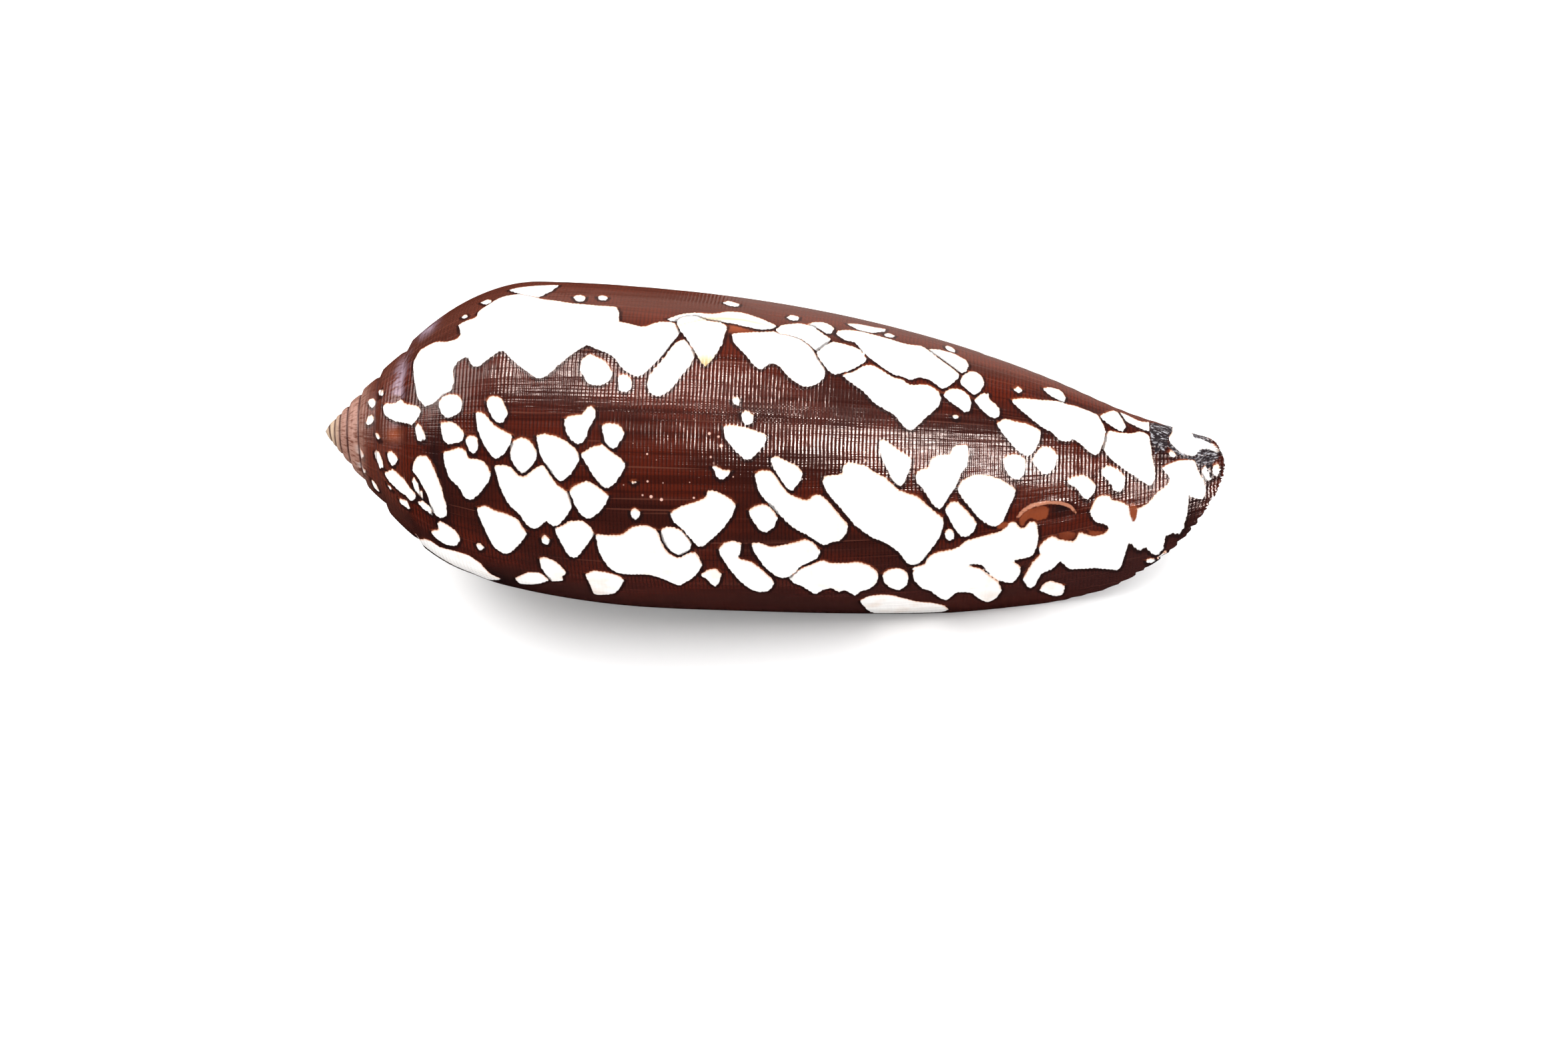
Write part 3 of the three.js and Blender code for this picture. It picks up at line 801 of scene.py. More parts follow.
# %% Patches: spire
SPIRE = [
    [(722, 480), (745, 470), (790, 530), (800, 590), (775, 635), (740, 600), (725, 540)],
    [(478, 320), (560, 330), (620, 285), (640, 330), (740, 340), (770, 380), (735, 440), (690, 490),
     (640, 465), (560, 455), (490, 410)],
    [(365, 310), (390, 280), (430, 300), (420, 345), (390, 360)],
    [(375, 405), (415, 420), (405, 470), (360, 490), (350, 470)],
    [(425, 530), (450, 560), (465, 610), (440, 590), (420, 555)],
    [(250, 625), (290, 620), (335, 700), (335, 740), (290, 700), (250, 660)],
    [(255, 740), (300, 760), (350, 820), (345, 850), (290, 800)],
    [(415, 680), (445, 675), (470, 730), (485, 800), (460, 815), (425, 740)],
    [(510, 690), (540, 675), (585, 720), (590, 750), (560, 800), (525, 770)],
    [(490, 840), (560, 810), (620, 880), (680, 950), (725, 1000), (720, 1050), (660, 1030), (590, 970),
     (510, 890)],
    [(595, 1030), (640, 1045), (690, 1100), (670, 1118), (610, 1070)],
    [(390, 880), (430, 930), (455, 985), (430, 980), (400, 920)],
    [(500, 910), (550, 960), (560, 985), (520, 955)],
    [(705, 780), (730, 720), (790, 705), (830, 740), (870, 830), (910, 930), (950, 1070), (960, 1170),
     (900, 1185), (850, 1150), (820, 1020), (770, 930), (740, 870), (700, 830)],
    [(690, 850), (730, 900), (775, 990), (780, 1050), (735, 1010), (700, 920)],
    [(730, 1060), (790, 1050), (840, 1110), (850, 1165), (800, 1130)],
    [(445, 240), (470, 205), (485, 250), (460, 285)],
]
print("patches, spire:", len(SPIRE))

# %% Patches: front tip
FRONT_TIP = [
    [(1340, 195), (1400, 215), (1490, 250), (1600, 300), (1680, 350), (1700, 390), (1660, 400),
     (1600, 375), (1540, 385), (1500, 425), (1400, 400), (1320, 320), (1310, 280), (1335, 240)],
    [(1640, 490), (1680, 470), (1700, 510), (1690, 560), (1660, 570), (1640, 540)],
    [(1140, 1200), (1180, 1180), (1230, 1185), (1190, 1215), (1150, 1220)],
    [(1290, 1120), (1380, 1090), (1420, 1085), (1370, 1120), (1300, 1150)],
]
print("patches, front tip:", len(FRONT_TIP))

# %% The crops that the corners were picked in
# A crop is given by its top left corner in the photograph and by how much it was enlarged.
MIDDLE_CROP = ((860, 430), 5)
FRONT_CROP = ((1490, 600), 5)
CROPS = [
    (((560, 430), 5), UPPER_SHOULDER),
    (((560, 640), 5), LOWER_SHOULDER),
    (MIDDLE_CROP, UPPER_MIDDLE),
    (((860, 640), 5), LOWER_MIDDLE),
    (((1160, 450), 5), UPPER_WAIST),
    (((1160, 670), 5), LOWER_WAIST),
    (((1460, 540), 4), UPPER_FRONT),
    (((1460, 690), 4), LOWER_FRONT),
    (((478, 540), 5), SPIRE),
    (FRONT_CROP, FRONT_TIP),
]
print("patches picked by eye:", sum(len(outlines) for _, outlines in CROPS))

# %% Carry the corners to the shell
PHOTO_SIZE = (2350, 1568)
ANGLE_WRAP = math.radians(30)

skin = BVHTree.FromBMesh(shell_mesh)
world_to_coil = coil_to_world.inverted()
focal_pixels = camera_data.lens / camera_data.sensor_width * PHOTO_SIZE[0]


def sight_line(pixel):
    across = (pixel[0] - PHOTO_SIZE[0] / 2) / focal_pixels
    up = (PHOTO_SIZE[1] / 2 - pixel[1]) / focal_pixels
    return (camera.matrix_world.to_3x3() @ Vector((across, up, -1.0))).normalized()


def growth_place(pixel):
    """Along and angle where a sight line meets the shell, or where it passes closest."""
    direction = sight_line(pixel)
    start = camera.matrix_world.translation
    spot = skin.ray_cast(start, direction)[0]
    if spot is None:
        beside = start + direction * VIEW_DISTANCE * MM
        spot = skin.find_nearest(beside)[0]
    coil = world_to_coil @ spot
    angle = math.atan2(-coil.y, coil.z)
    return coil.x, angle - TURN if angle > ANGLE_WRAP else angle


def carried(crop, outlines):
    """Outlines picked in an enlarged crop, carried to growth coordinates."""
    (left, top), enlarged = crop
    return [[growth_place((left + x / enlarged, top + y / enlarged)) for x, y in ring] for ring in outlines]


tents = []
for crop, outlines in CROPS:
    tents += carried(crop, outlines)
print("first tent starts", [round(value, 2) for value in tents[0][0]])

# %% [markdown]
# ## Patches on the side that is hidden
# The photograph shows half of the shell. The other half has the same kind of markings, so it gets tents of
# its own from a seeded random generator. Each one is a crooked ring of corners with one long point, and a
# new one is kept only where it has room.

# %% One crooked tent
HIDDEN_SEED = 11
TENT_CORNERS = (5, 9)
MOST_LEAN = 0.9
POINT_TURN = (0.2, 1.4)
CORNER_WOBBLE = 0.3
STRETCH = 0.3
CORNER_REACH = (0.72, 1.2)
POINT_LENGTH = 0.4
POINT_SHARPNESS = 6
rng = np.random.default_rng(HIDDEN_SEED)


def radius_at(along, angle):
    return float(whorl_radius(np.array([along]), np.array([angle]))[0])


def crooked_tent(along, angle, size):
    """A ring of uneven corners, longer across one lean and drawn out to a point on the growth side."""
    corners = rng.integers(*TENT_CORNERS)
    lean = rng.uniform(-MOST_LEAN, MOST_LEAN)
    point = rng.uniform(*POINT_TURN)
    radius = radius_at(along, angle)
    ring = []
    for step in range(corners):
        turn = TURN * (step + rng.uniform(-CORNER_WOBBLE, CORNER_WOBBLE)) / corners
        reach = size * (1 + STRETCH * math.cos(2 * (turn - lean))) * rng.uniform(*CORNER_REACH)
        reach = reach * (1 + POINT_LENGTH * math.exp(-POINT_SHARPNESS * (1 - math.cos(turn - point))))
        ring.append((along + reach * math.cos(turn), angle + reach * math.sin(turn) / radius))
    return ring


print("corners of a hidden tent, from and below:", TENT_CORNERS)

# %% Tents for the hidden side
HIDDEN_TRIES = 1600
HIDDEN_BEFORE = (180, 358)
HIDDEN_ALONG = (5.0, 99.0)
TENT_SIZES = (0.6, 4.6)
SIZE_SHARE = (0.6, 1.0)
FULL_SIZE_ALONG = 16
TENT_GAP = 0.1
BARE_BAND = (205, 240)
BARE_SHARE = 0.8


def place_in_mm(along, angle):
    """Unrolls a place on the shell to two lengths; good for distances between near neighbours."""
    return along, angle * radius_at(along, angle)


taken = [(*place_in_mm(along, angle), TENT_GAP) for tent in tents for along, angle in tent]
for attempt in range(HIDDEN_TRIES):
    along = rng.uniform(*HIDDEN_ALONG)
    before = rng.uniform(*HIDDEN_BEFORE)
    angle = -math.radians(before)
    largest = TENT_SIZES[0] + (TENT_SIZES[1] - TENT_SIZES[0]) * (1 - attempt / HIDDEN_TRIES) ** 2
    size = largest * rng.uniform(*SIZE_SHARE) * min(1.0, along / FULL_SIZE_ALONG)
    bare = BARE_BAND[0] < before < BARE_BAND[1] and rng.random() < BARE_SHARE
    x, y = place_in_mm(along, angle)
    if not bare and all(math.hypot(x - tx, y - ty) > size + room + TENT_GAP for tx, ty, room in taken):
        tents.append(crooked_tent(along, angle, size))
        taken.append((x, y, size))
print("tents in all:", len(tents))

# %% [markdown]
# ## From outlines to a mask
# A mask drawn on vertices would be as coarse as the mesh. A distance is much finer: each vertex stores how
# deep it lies inside the nearest tent, in millimetres, and the material draws the edge where that depth is
# zero, in the middle of a face if need be. Tents that nearly touch go to different layers, because one layer
# alone would run them together and lose the dark line between them.

# %% Lengths along the surface
MERIDIAN_STEPS = 2000
MERIDIAN_SPARE = 2

vert_count = len(shell_data.vertices)
meridian_along = np.linspace(0, SHELL_LENGTH + MERIDIAN_SPARE, MERIDIAN_STEPS)
meridian_radius = whorl_radius(meridian_along, np.full(MERIDIAN_STEPS, -TURN / 4))
meridian_pieces = np.hypot(np.diff(meridian_along), np.diff(meridian_radius))
meridian_length = np.concatenate([[0], np.cumsum(meridian_pieces)])


def vertex_values(name):
    values = np.zeros(vert_count)
    shell_data.attributes[name].data.foreach_get("value", values)
    return values


vert_along = vertex_values("along")
vert_angle = vertex_values("angle")
vert_outside = vertex_values("lining") < LINED
vert_x = np.interp(vert_along, meridian_along, meridian_length)
print("from the apex to the front over the surface, in mm:", round(float(vert_x.max()), 1))

# %% Depth inside one ring
NO_LENGTH = 1e-12
NO_DISTANCE = 1e-9


def depth_and_side(ring, x, y):
    """Depth inside a ring (negative outside), and 1 on its growth side down to -1 on its older side."""
    nearest = np.full(len(x), np.inf)
    side = np.zeros(len(x))
    inside = np.zeros(len(x), bool)
    for (ax, ay), (bx, by) in zip(ring, np.roll(ring, -1, axis=0)):
        ex, ey = bx - ax, by - ay
        share = np.clip(((x - ax) * ex + (y - ay) * ey) / (ex * ex + ey * ey + NO_LENGTH), 0, 1)
        dx, dy = x - ax - share * ex, y - ay - share * ey
        distance = np.hypot(dx, dy) + NO_DISTANCE
        side = np.where(distance < nearest, dy / distance, side)
        nearest = np.minimum(nearest, distance)
        crosses = (ay > y) != (by > y)
        inside ^= crosses & (x < ax + (y - ay) * ex / (ey if ey else 1.0))
    return np.where(inside, nearest, -nearest), np.where(inside, -side, side)


unit_square = np.array([[0.0, 0.0], [1.0, 0.0], [1.0, 1.0], [0.0, 1.0]])
middle_depth, _ = depth_and_side(unit_square, np.array([0.5]), np.array([0.5]))
print("depth in the middle of a square of side 1:", round(float(middle_depth[0]), 3))

# %% Depth inside the tents
FAR = 9.0
REACH = 1.6
CORNER_CUTS = (0.11, 0.25)


def cut_corners(ring, share):
    ahead = np.roll(ring, -1, axis=0)
    return np.stack([ring + share * (ahead - ring), ahead - share * (ahead - ring)], axis=1).reshape(-1, 2)


def depth_near(tent):
    """The vertices near a tent, their depths inside it and their sides; lengths are along the surface."""
    ring = np.array(tent)
    middle_radius = float(whorl_radius(ring[:, 0], ring[:, 1]).mean())
    ring_x = np.interp(ring[:, 0], meridian_along, meridian_length)
    ring = np.stack([ring_x, ring[:, 1] * middle_radius], axis=1)
    for share in CORNER_CUTS:
        ring = cut_corners(ring, share)
    vert_y = vert_angle * middle_radius
    low, high = ring.min(axis=0) - REACH, ring.max(axis=0) + REACH
    close = (vert_x > low[0]) & (vert_x < high[0]) & (vert_y > low[1]) & (vert_y < high[1])
    close = np.nonzero(close & vert_outside)[0]
    return close, *depth_and_side(ring, vert_x[close], vert_y[close])


depths = np.full((len(tents), vert_count), -FAR, dtype=np.float32)
sides = np.zeros((len(tents), vert_count), dtype=np.float32)
near_verts = []
for i, tent in enumerate(tents):
    close, depth, side = depth_near(tent)
    depths[i, close] = depth
    sides[i, close] = side
    near_verts.append(close)
print("vertices inside a tent:", int((depths.max(axis=0) > 0).sum()), "of", vert_count)

# %% Share the tents out to layers
LAYER_NAMES = ["tents_a", "tents_b", "tents_c", "tents_d"]
JOINED_DEPTH = 0.45
NEAR_GAP = 0.8
layer_of = []


def pick_layer(i, close):
    """The layer of a tent that it runs together with, or else the first layer with no tent near it."""
    closeness = [np.minimum(depths[i, close], depths[j, close]).max(initial=-FAR) for j in range(i)]
    joined = [j for j in range(i) if closeness[j] > JOINED_DEPTH]
    if joined:
        return layer_of[joined[0]]
    near = {layer_of[j] for j in range(i) if closeness[j] > -NEAR_GAP}
    free = [layer for layer in range(len(LAYER_NAMES)) if layer not in near]
    return free[0] if free else len(LAYER_NAMES) - 1


for i, close in enumerate(near_verts):
    layer_of.append(pick_layer(i, close))
print("tents per layer:", [layer_of.count(layer) for layer in range(len(LAYER_NAMES))])

# %% Store the tents and the growth coordinates
GROWTH_ROUND = 18.0


def store_values(name, values):
    attribute = shell_data.attributes.new(name, "FLOAT", "POINT")
    attribute.data.foreach_set("value", np.asarray(values, dtype=np.float32))


for layer, name in enumerate(LAYER_NAMES):
    store_values(name, depths[np.array(layer_of) == layer].max(axis=0))
store_values("tent_side", sides[depths.argmax(axis=0), np.arange(vert_count)])
growth = np.stack(
    [vert_along, GROWTH_ROUND * np.sin(vert_angle), GROWTH_ROUND * np.cos(vert_angle)], axis=1
)
growth_attribute = shell_data.attributes.new("growth", "FLOAT_VECTOR", "POINT")
growth_attribute.data.foreach_set("vector", growth.astype(np.float32).ravel())
print("attributes on the mesh:", len(shell_data.attributes))

# %% [markdown]
# ## Stains that the tents don't explain, and a painted sheen
# Some places have a colour of their own: a black-brown band round the shoulder, a rusty spot on the spire, a
# yellowed tent tip, the healed break near the front and grey wear on the front tip. Two grey-lilac spots at
# the shoulder are painted sheen, a reflection painted into the colour. Those with a soft edge are spots on
# the growth coordinates, given by a middle and half sizes, each in millimetres along and in degrees before
# the lip. Those with a clear edge are outlines like the tents'.

# %% Soft spots
SOFT_SPOTS = {
    "dark_spots": [
        (15.2, 78, 1.5, 30),
        (15.8, 48, 1.4, 30),
        (20.0, 25, 6.0, 12),
        (97.5, 92, 0.7, 18),
        (86.2, 62, 1.6, 4),
        (101, 60, 1.5, 30),
    ],
    "rust_spots": [(9.7, 93, 0.9, 4.5), (48.8, 141, 1.8, 2.6)],
    "yellow_spots": [(45.6, 122, 1.6, 6)],
    "speckled_spots": [
        (41.5, 72, 6.0, 9),
        (38, 84, 4.0, 8),
        (48, 92, 6, 12),
        (30, 90, 6, 10),
        (66, 88, 8, 8),
    ],
    # painted sheen: grey-lilac reflection painted beside the last suture and at the shoulder's top edge
    "painted_sheen_spots": [(9.9, 128, 0.7, 24), (12.6, 163, 1.0, 8)],
}
vert_before = -np.degrees(vert_angle)


def soft_spots(spots):
    total = np.zeros(vert_count)
    for along, before, half_along, half_before in spots:
        off = ((vert_along - along) / half_along) ** 2 + ((vert_before - before) / half_before) ** 2
        total = np.maximum(total, np.exp(-off))
    return total * vert_outside


for name, spots in SOFT_SPOTS.items():
    store_values(name, soft_spots(spots))
print("soft spots:", {name: len(spots) for name, spots in SOFT_SPOTS.items()})

# %% Sutures
to_suture = suture_distance(vert_along, vert_angle)
store_values("suture", to_suture + FAR * ~vert_outside)
print("vertices in a suture's groove:", int((to_suture < SUTURE_HALF).sum()))

# %% Outlined stains
WORN = [
    [(1170, 190), (1205, 165), (1260, 190), (1340, 195), (1335, 240), (1300, 290), (1290, 350), (1270, 390),
     (1235, 360), (1215, 420), (1195, 380), (1180, 290), (1165, 240)],
    [(1540, 370), (1600, 360), (1680, 390), (1690, 430), (1650, 450), (1640, 490), (1610, 520), (1640, 560),
     (1630, 600), (1600, 540), (1590, 480), (1560, 500), (1545, 560), (1525, 500), (1500, 430)],
    [(1310, 315), (1400, 398), (1500, 420), (1500, 445), (1390, 428), (1310, 352)],
    [(1480, 240), (1560, 262), (1640, 312), (1630, 330), (1550, 288), (1490, 285)],
]
RUSTY = [
    [(1012, 800), (1030, 765), (1062, 788), (1078, 820), (1068, 880), (1045, 935), (1028, 880), (1013, 860)],
    [(190, 880), (260, 815), (350, 790), (410, 800), (400, 880), (330, 905), (270, 880), (240, 900),
     (215, 945), (190, 930)],
    [(20, 945), (80, 905), (110, 935), (80, 960), (20, 965)],
    [(480, 1000), (520, 985), (610, 990), (600, 1038), (540, 1048), (490, 1032)],
    [(690, 960), (740, 985), (850, 985), (760, 1018), (720, 1012)],
]
ARCH = [
    [(160, 880), (215, 810), (290, 770), (400, 752), (500, 755), (580, 785), (630, 860), (608, 850),
     (565, 808), (500, 782), (400, 778), (300, 798), (225, 838), (185, 888)],
]
YELLOWED_STRIPS = [
    [(750, 280), (1000, 215), (1250, 225), (1500, 285), (1500, 315), (1250, 262), (1000, 257), (760, 318)],
]


def stain_depth(crop, outlines):
    """How deep each vertex lies inside the nearest of some outlines, in mm."""
    deepest = np.full(vert_count, -FAR)
    for ring in carried(crop, outlines):
        close, depth, _ = depth_near(ring)
        deepest[close] = np.maximum(deepest[close], depth)
    return deepest


store_values("worn", stain_depth(FRONT_CROP, WORN))
store_values("rusty", stain_depth(FRONT_CROP, RUSTY))
store_values("scar_arch", stain_depth(FRONT_CROP, ARCH))
store_values("yellowed", stain_depth(MIDDLE_CROP, YELLOWED_STRIPS))
print("outlined stains:", len(WORN + RUSTY + ARCH + YELLOWED_STRIPS))

# %% [markdown]
# ## Paint and polish
# The material first mixes the brown ground, then lays the tents over it one layer after another, each with
# its dark rim, and at last the pale first whorls and the porcelain of the mouth. Fine threads run round the
# shell and growth lines run along it. Both are only a few hundredths of a millimetre high, so they are bump.
# A painted picture would blur close up. Nodes stay sharp, and they work on the hidden side too.

# %% Node helpers
glaze = bpy.data.materials.new("shell_glaze")
glaze.use_nodes = True
tree = glaze.node_tree
shader = tree.nodes["Principled BSDF"]


def put(socket, value):
    if isinstance(value, bpy.types.NodeSocket):
        tree.links.new(value, socket)
    else:
        socket.default_value = value


def calc(operation, first, second=0.0):
    math_node = tree.nodes.new("ShaderNodeMath")
    math_node.operation = operation
    put(math_node.inputs[0], first)
    put(math_node.inputs[1], second)
    return math_node.outputs[0]


def stored(name, output="Fac"):
    reader = tree.nodes.new("ShaderNodeAttribute")
    reader.attribute_name = name
    return reader.outputs[output]


print("paint starts from:", shader.name)

# %% Nodes that step and mix
MIX_UNDER = 6
MIX_OVER = 7
MIX_RESULT = 2


def step_between(value, low, high):
    """0 below low and 1 above high, eased in between; low may be the larger one."""
    ranger = tree.nodes.new("ShaderNodeMapRange")
    ranger.interpolation_type = "SMOOTHSTEP"
    flip = low > high
    put(ranger.inputs["Value"], value)
    put(ranger.inputs["From Min"], high if flip else low)
    put(ranger.inputs["From Max"], low if flip else high)
    put(ranger.inputs["To Min"], 1.0 if flip else 0.0)
    put(ranger.inputs["To Max"], 0.0 if flip else 1.0)
    return ranger.outputs["Result"]


def as_paint(colour):
    return colour if isinstance(colour, bpy.types.NodeSocket) else (*colour, 1.0)


def lay_over(share, under, over):
    mixer = tree.nodes.new("ShaderNodeMix")
    mixer.data_type = "RGBA"
    put(mixer.inputs["Factor"], share)
    put(mixer.inputs[MIX_UNDER], as_paint(under))
    put(mixer.inputs[MIX_OVER], as_paint(over))
    return mixer.outputs[MIX_RESULT]


def lay_thinly(mask, strength, under, over):
    return lay_over(calc("MULTIPLY", mask, strength), under, over)


print("the paint has", len(tree.nodes), "nodes before mixing")

# %% Noise that follows the growth
NOISE_MIDDLE = 0.5


def noise(scale, stretch, detail=2.0):
    """Noise on the growth coordinates; stretch is its frequency along the shell, beside 1 around it."""
    spread = tree.nodes.new("ShaderNodeVectorMath")
    spread.operation = "MULTIPLY"
    put(spread.inputs[0], stored("growth", "Vector"))
    put(spread.inputs[1], (stretch, 1.0, 1.0))
    cloud = tree.nodes.new("ShaderNodeTexNoise")
    put(cloud.inputs["Vector"], spread.outputs[0])
    put(cloud.inputs["Scale"], scale)
    put(cloud.inputs["Detail"], detail)
    return cloud.outputs["Fac"]


growth_lines = noise(1.5, 0.02, detail=5.0)
clouds = noise(0.16, 0.5, detail=3.0)
print("nodes after the first two noises:", len(tree.nodes))

# %% Threads round the shell
THREAD_PERIOD = 0.43
THREAD_WANDER = 2.5
THREAD_PATCHES = (0.3, 0.7)
THREAD_VARIES = 0.6
THREAD_LEAST = 0.4

split = tree.nodes.new("ShaderNodeSeparateXYZ")
put(split.inputs[0], stored("growth", "Vector"))
along_mm = split.outputs["X"]
thread_wander = calc("MULTIPLY", noise(0.5, 0.6), THREAD_WANDER)
thread_phase = calc("ADD", calc("MULTIPLY", along_mm, TURN / THREAD_PERIOD), thread_wander)
thread_patches = step_between(noise(0.8, 1.6, detail=3.0), *THREAD_PATCHES)
thread_strength = calc("ADD", calc("MULTIPLY", thread_patches, THREAD_VARIES), THREAD_LEAST)
threads = calc("MULTIPLY", calc("SINE", thread_phase), thread_strength)
print("threads along the shell:", round(SHELL_LENGTH / THREAD_PERIOD))

# %% Brown ground
RED_BROWN = (0.074, 0.0082, 0.0026)
DEEP_BROWN = (0.034, 0.0058, 0.0034)
# painted shade: the brown that the low side is darkened towards
PAINTED_SHADE_BROWN = (0.036, 0.012, 0.011)
THREAD_BROWN = (0.020, 0.0040, 0.0030)
WARM_BROWN = (0.13, 0.04, 0.025)
CLOUD_RANGE = (0.36, 0.62)
PALE_GROWTH = (0.58, 0.75)
PALE_GROWTH_SHARE = 0.3
DARK_GROWTH = (0.46, 0.34)
DARK_GROWTH_SHARE = 0.55
THREAD_RANGE = (-0.3, 0.9)
THREAD_SHARE = 0.75
PALE_LINES = (0.66, 0.74)
PALE_LINE_SHARE = 0.5

pale_lines = step_between(noise(2.6, 0.012, detail=1.0), *PALE_LINES)
ground = lay_over(step_between(clouds, *CLOUD_RANGE), DEEP_BROWN, RED_BROWN)
ground = lay_thinly(step_between(growth_lines, *PALE_GROWTH), PALE_GROWTH_SHARE, ground, WARM_BROWN)
ground = lay_thinly(step_between(growth_lines, *DARK_GROWTH), DARK_GROWTH_SHARE, ground, THREAD_BROWN)
ground = lay_thinly(step_between(threads, *THREAD_RANGE), THREAD_SHARE, ground, THREAD_BROWN)
ground = lay_thinly(pale_lines, PALE_LINE_SHARE, ground, WARM_BROWN)
print("nodes after the ground:", len(tree.nodes))

# %% Painted shade on the low side, painted light on the upper back, and the paler spire
PAINTED_SHADE_SIDE = (-1.05, -0.35)
PAINTED_SHADE_SHARE = 0.6
PAINTED_LIGHT_START = (-2.2, -2.7)
PAINTED_LIGHT_END = (-4.0, -3.2)
PAINTED_LIGHT_SHARE = 0.4
SPIRE_END = (12.5, 7.0)
SPIRE_SHARE = 0.35

# Painted shade: the low side near the lip is darkened towards a shade brown.
ground = lay_thinly(step_between(stored("angle"), *PAINTED_SHADE_SIDE), PAINTED_SHADE_SHARE, ground, PAINTED_SHADE_BROWN)
# Painted light: a lighter, warmer band on the upper back, where the overhead lamp falls from behind.
painted_light_start = step_between(stored("angle"), *PAINTED_LIGHT_START)
painted_light_end = step_between(stored("angle"), *PAINTED_LIGHT_END)
ground = lay_thinly(calc("MULTIPLY", painted_light_start, painted_light_end), PAINTED_LIGHT_SHARE, ground, WARM_BROWN)
ground = lay_thinly(step_between(along_mm, *SPIRE_END), SPIRE_SHARE, ground, WARM_BROWN)
print("nodes after the shades:", len(tree.nodes))

# %% Soft stains, speckles and painted sheen
BLACK_BROWN = (0.011, 0.004, 0.004)
RUST = (0.20, 0.042, 0.014)
PAINTED_SHEEN_LILAC = (0.30, 0.22, 0.27)
PAINTED_SHEEN_RANGE = (0.35, 0.6)
SPECKLE_PINK = (0.64, 0.38, 0.31)
SPECKLE_SCALE = 0.85
SPECKLE_SIZE = 0.22
SPECKLE_SOFTNESS = 0.08

# Painted sheen: a grey-lilac reflection painted beside the last suture and at the shoulder's top edge.
painted_sheen_patches = step_between(noise(0.9, 0.8, detail=4.0), *PAINTED_SHEEN_RANGE)
ground = lay_over(calc("MULTIPLY", stored("painted_sheen_spots"), painted_sheen_patches), ground, PAINTED_SHEEN_LILAC)
ground = lay_over(stored("rust_spots"), ground, RUST)
ground = lay_over(stored("dark_spots"), ground, BLACK_BROWN)
speckles = tree.nodes.new("ShaderNodeTexVoronoi")
put(speckles.inputs["Vector"], stored("growth", "Vector"))
put(speckles.inputs["Scale"], SPECKLE_SCALE)
speckle_size = calc("MULTIPLY", stored("speckled_spots"), SPECKLE_SIZE)
speckle_depth = calc("SUBTRACT", speckle_size, speckles.outputs["Distance"])
ground = lay_over(step_between(speckle_depth, 0.0, SPECKLE_SOFTNESS), ground, SPECKLE_PINK)
print("nodes after the stains:", len(tree.nodes))

# %% White, its yellowing and its ragged edge
TENT_WHITE = (0.86, 0.84, 0.82)
TENT_CREAM = (0.80, 0.72, 0.66)
CREAM_RANGE = (0.5, 0.75)
YELLOWED = (0.46, 0.31, 0.13)
YELLOWED_EDGE = (-0.4, 0.7)
YELLOWED_SHARE = 0.9
RAGGEDNESS = 0.26
THREAD_BITE = 0.035

white = lay_over(step_between(noise(0.3, 1.0), *CREAM_RANGE), TENT_WHITE, TENT_CREAM)
white = lay_thinly(step_between(stored("yellowed"), *YELLOWED_EDGE), YELLOWED_SHARE, white, YELLOWED)
white = lay_over(stored("yellow_spots"), white, YELLOWED)
ragged = calc("MULTIPLY", calc("SUBTRACT", noise(2.2, 1.0, detail=3.0), NOISE_MIDDLE), RAGGEDNESS)
ragged = calc("ADD", ragged, calc("MULTIPLY", threads, THREAD_BITE))
print("nodes after the white:", len(tree.nodes))

# %% Tents with dark rims
RIM_WIDTH = 0.40
FRINGE_WIDTH = 0.16
EDGE_SOFTNESS = 0.06
RIM_SOFTNESS = 0.14
RIM_STRENGTH = 0.8
RIM_RUST = (0.42, 0.6)
GROWTH_SIDE = (-0.9, -0.1)
OLDER_SIDE = (0.3, -0.5)
PEACH = (0.72, 0.36, 0.20)
PEACH_WIDTH = 0.3
PEACH_SHARE = 0.8

growth_side = step_between(stored("tent_side"), *GROWTH_SIDE)
rust_patches = step_between(noise(0.35, 1.0), *RIM_RUST)
rim = lay_over(growth_side, lay_over(rust_patches, DEEP_BROWN, RUST), BLACK_BROWN)
rim_widening = calc("MULTIPLY", growth_side, RIM_WIDTH - FRINGE_WIDTH)
older_side = calc("MULTIPLY", step_between(stored("tent_side"), *OLDER_SIDE), PEACH_SHARE)
painted = ground
for name in LAYER_NAMES:
    depth = calc("ADD", stored(name), ragged)
    rim_depth = calc("ADD", depth, rim_widening)
    rim_share = step_between(rim_depth, -FRINGE_WIDTH - RIM_SOFTNESS, -FRINGE_WIDTH + RIM_SOFTNESS)
    painted = lay_thinly(rim_share, RIM_STRENGTH, painted, rim)
    peach_share = calc("MULTIPLY", step_between(depth, PEACH_WIDTH, 0.0), older_side)
    inside = lay_over(peach_share, white, PEACH)
    painted = lay_over(step_between(depth, -EDGE_SOFTNESS, EDGE_SOFTNESS), painted, inside)
print("nodes after the tents:", len(tree.nodes))

# %% Scar and wear over the tents
SCAR_TAN = (0.42, 0.17, 0.10)
RUSTY_CLOUDS = (0.4, 0.6)
RUSTY_SOFTNESS = 0.12
ARCH_RAGGEDNESS = 0.6
ARCH_EDGE = (-0.06, 0.08)
WORN_DARK = (0.016, 0.011, 0.013)
WORN_GREY = (0.34, 0.33, 0.35)
WORN_RANGE = (0.50, 0.68)
WORN_RAGGEDNESS = 2.0
WORN_SOFTNESS = 0.1

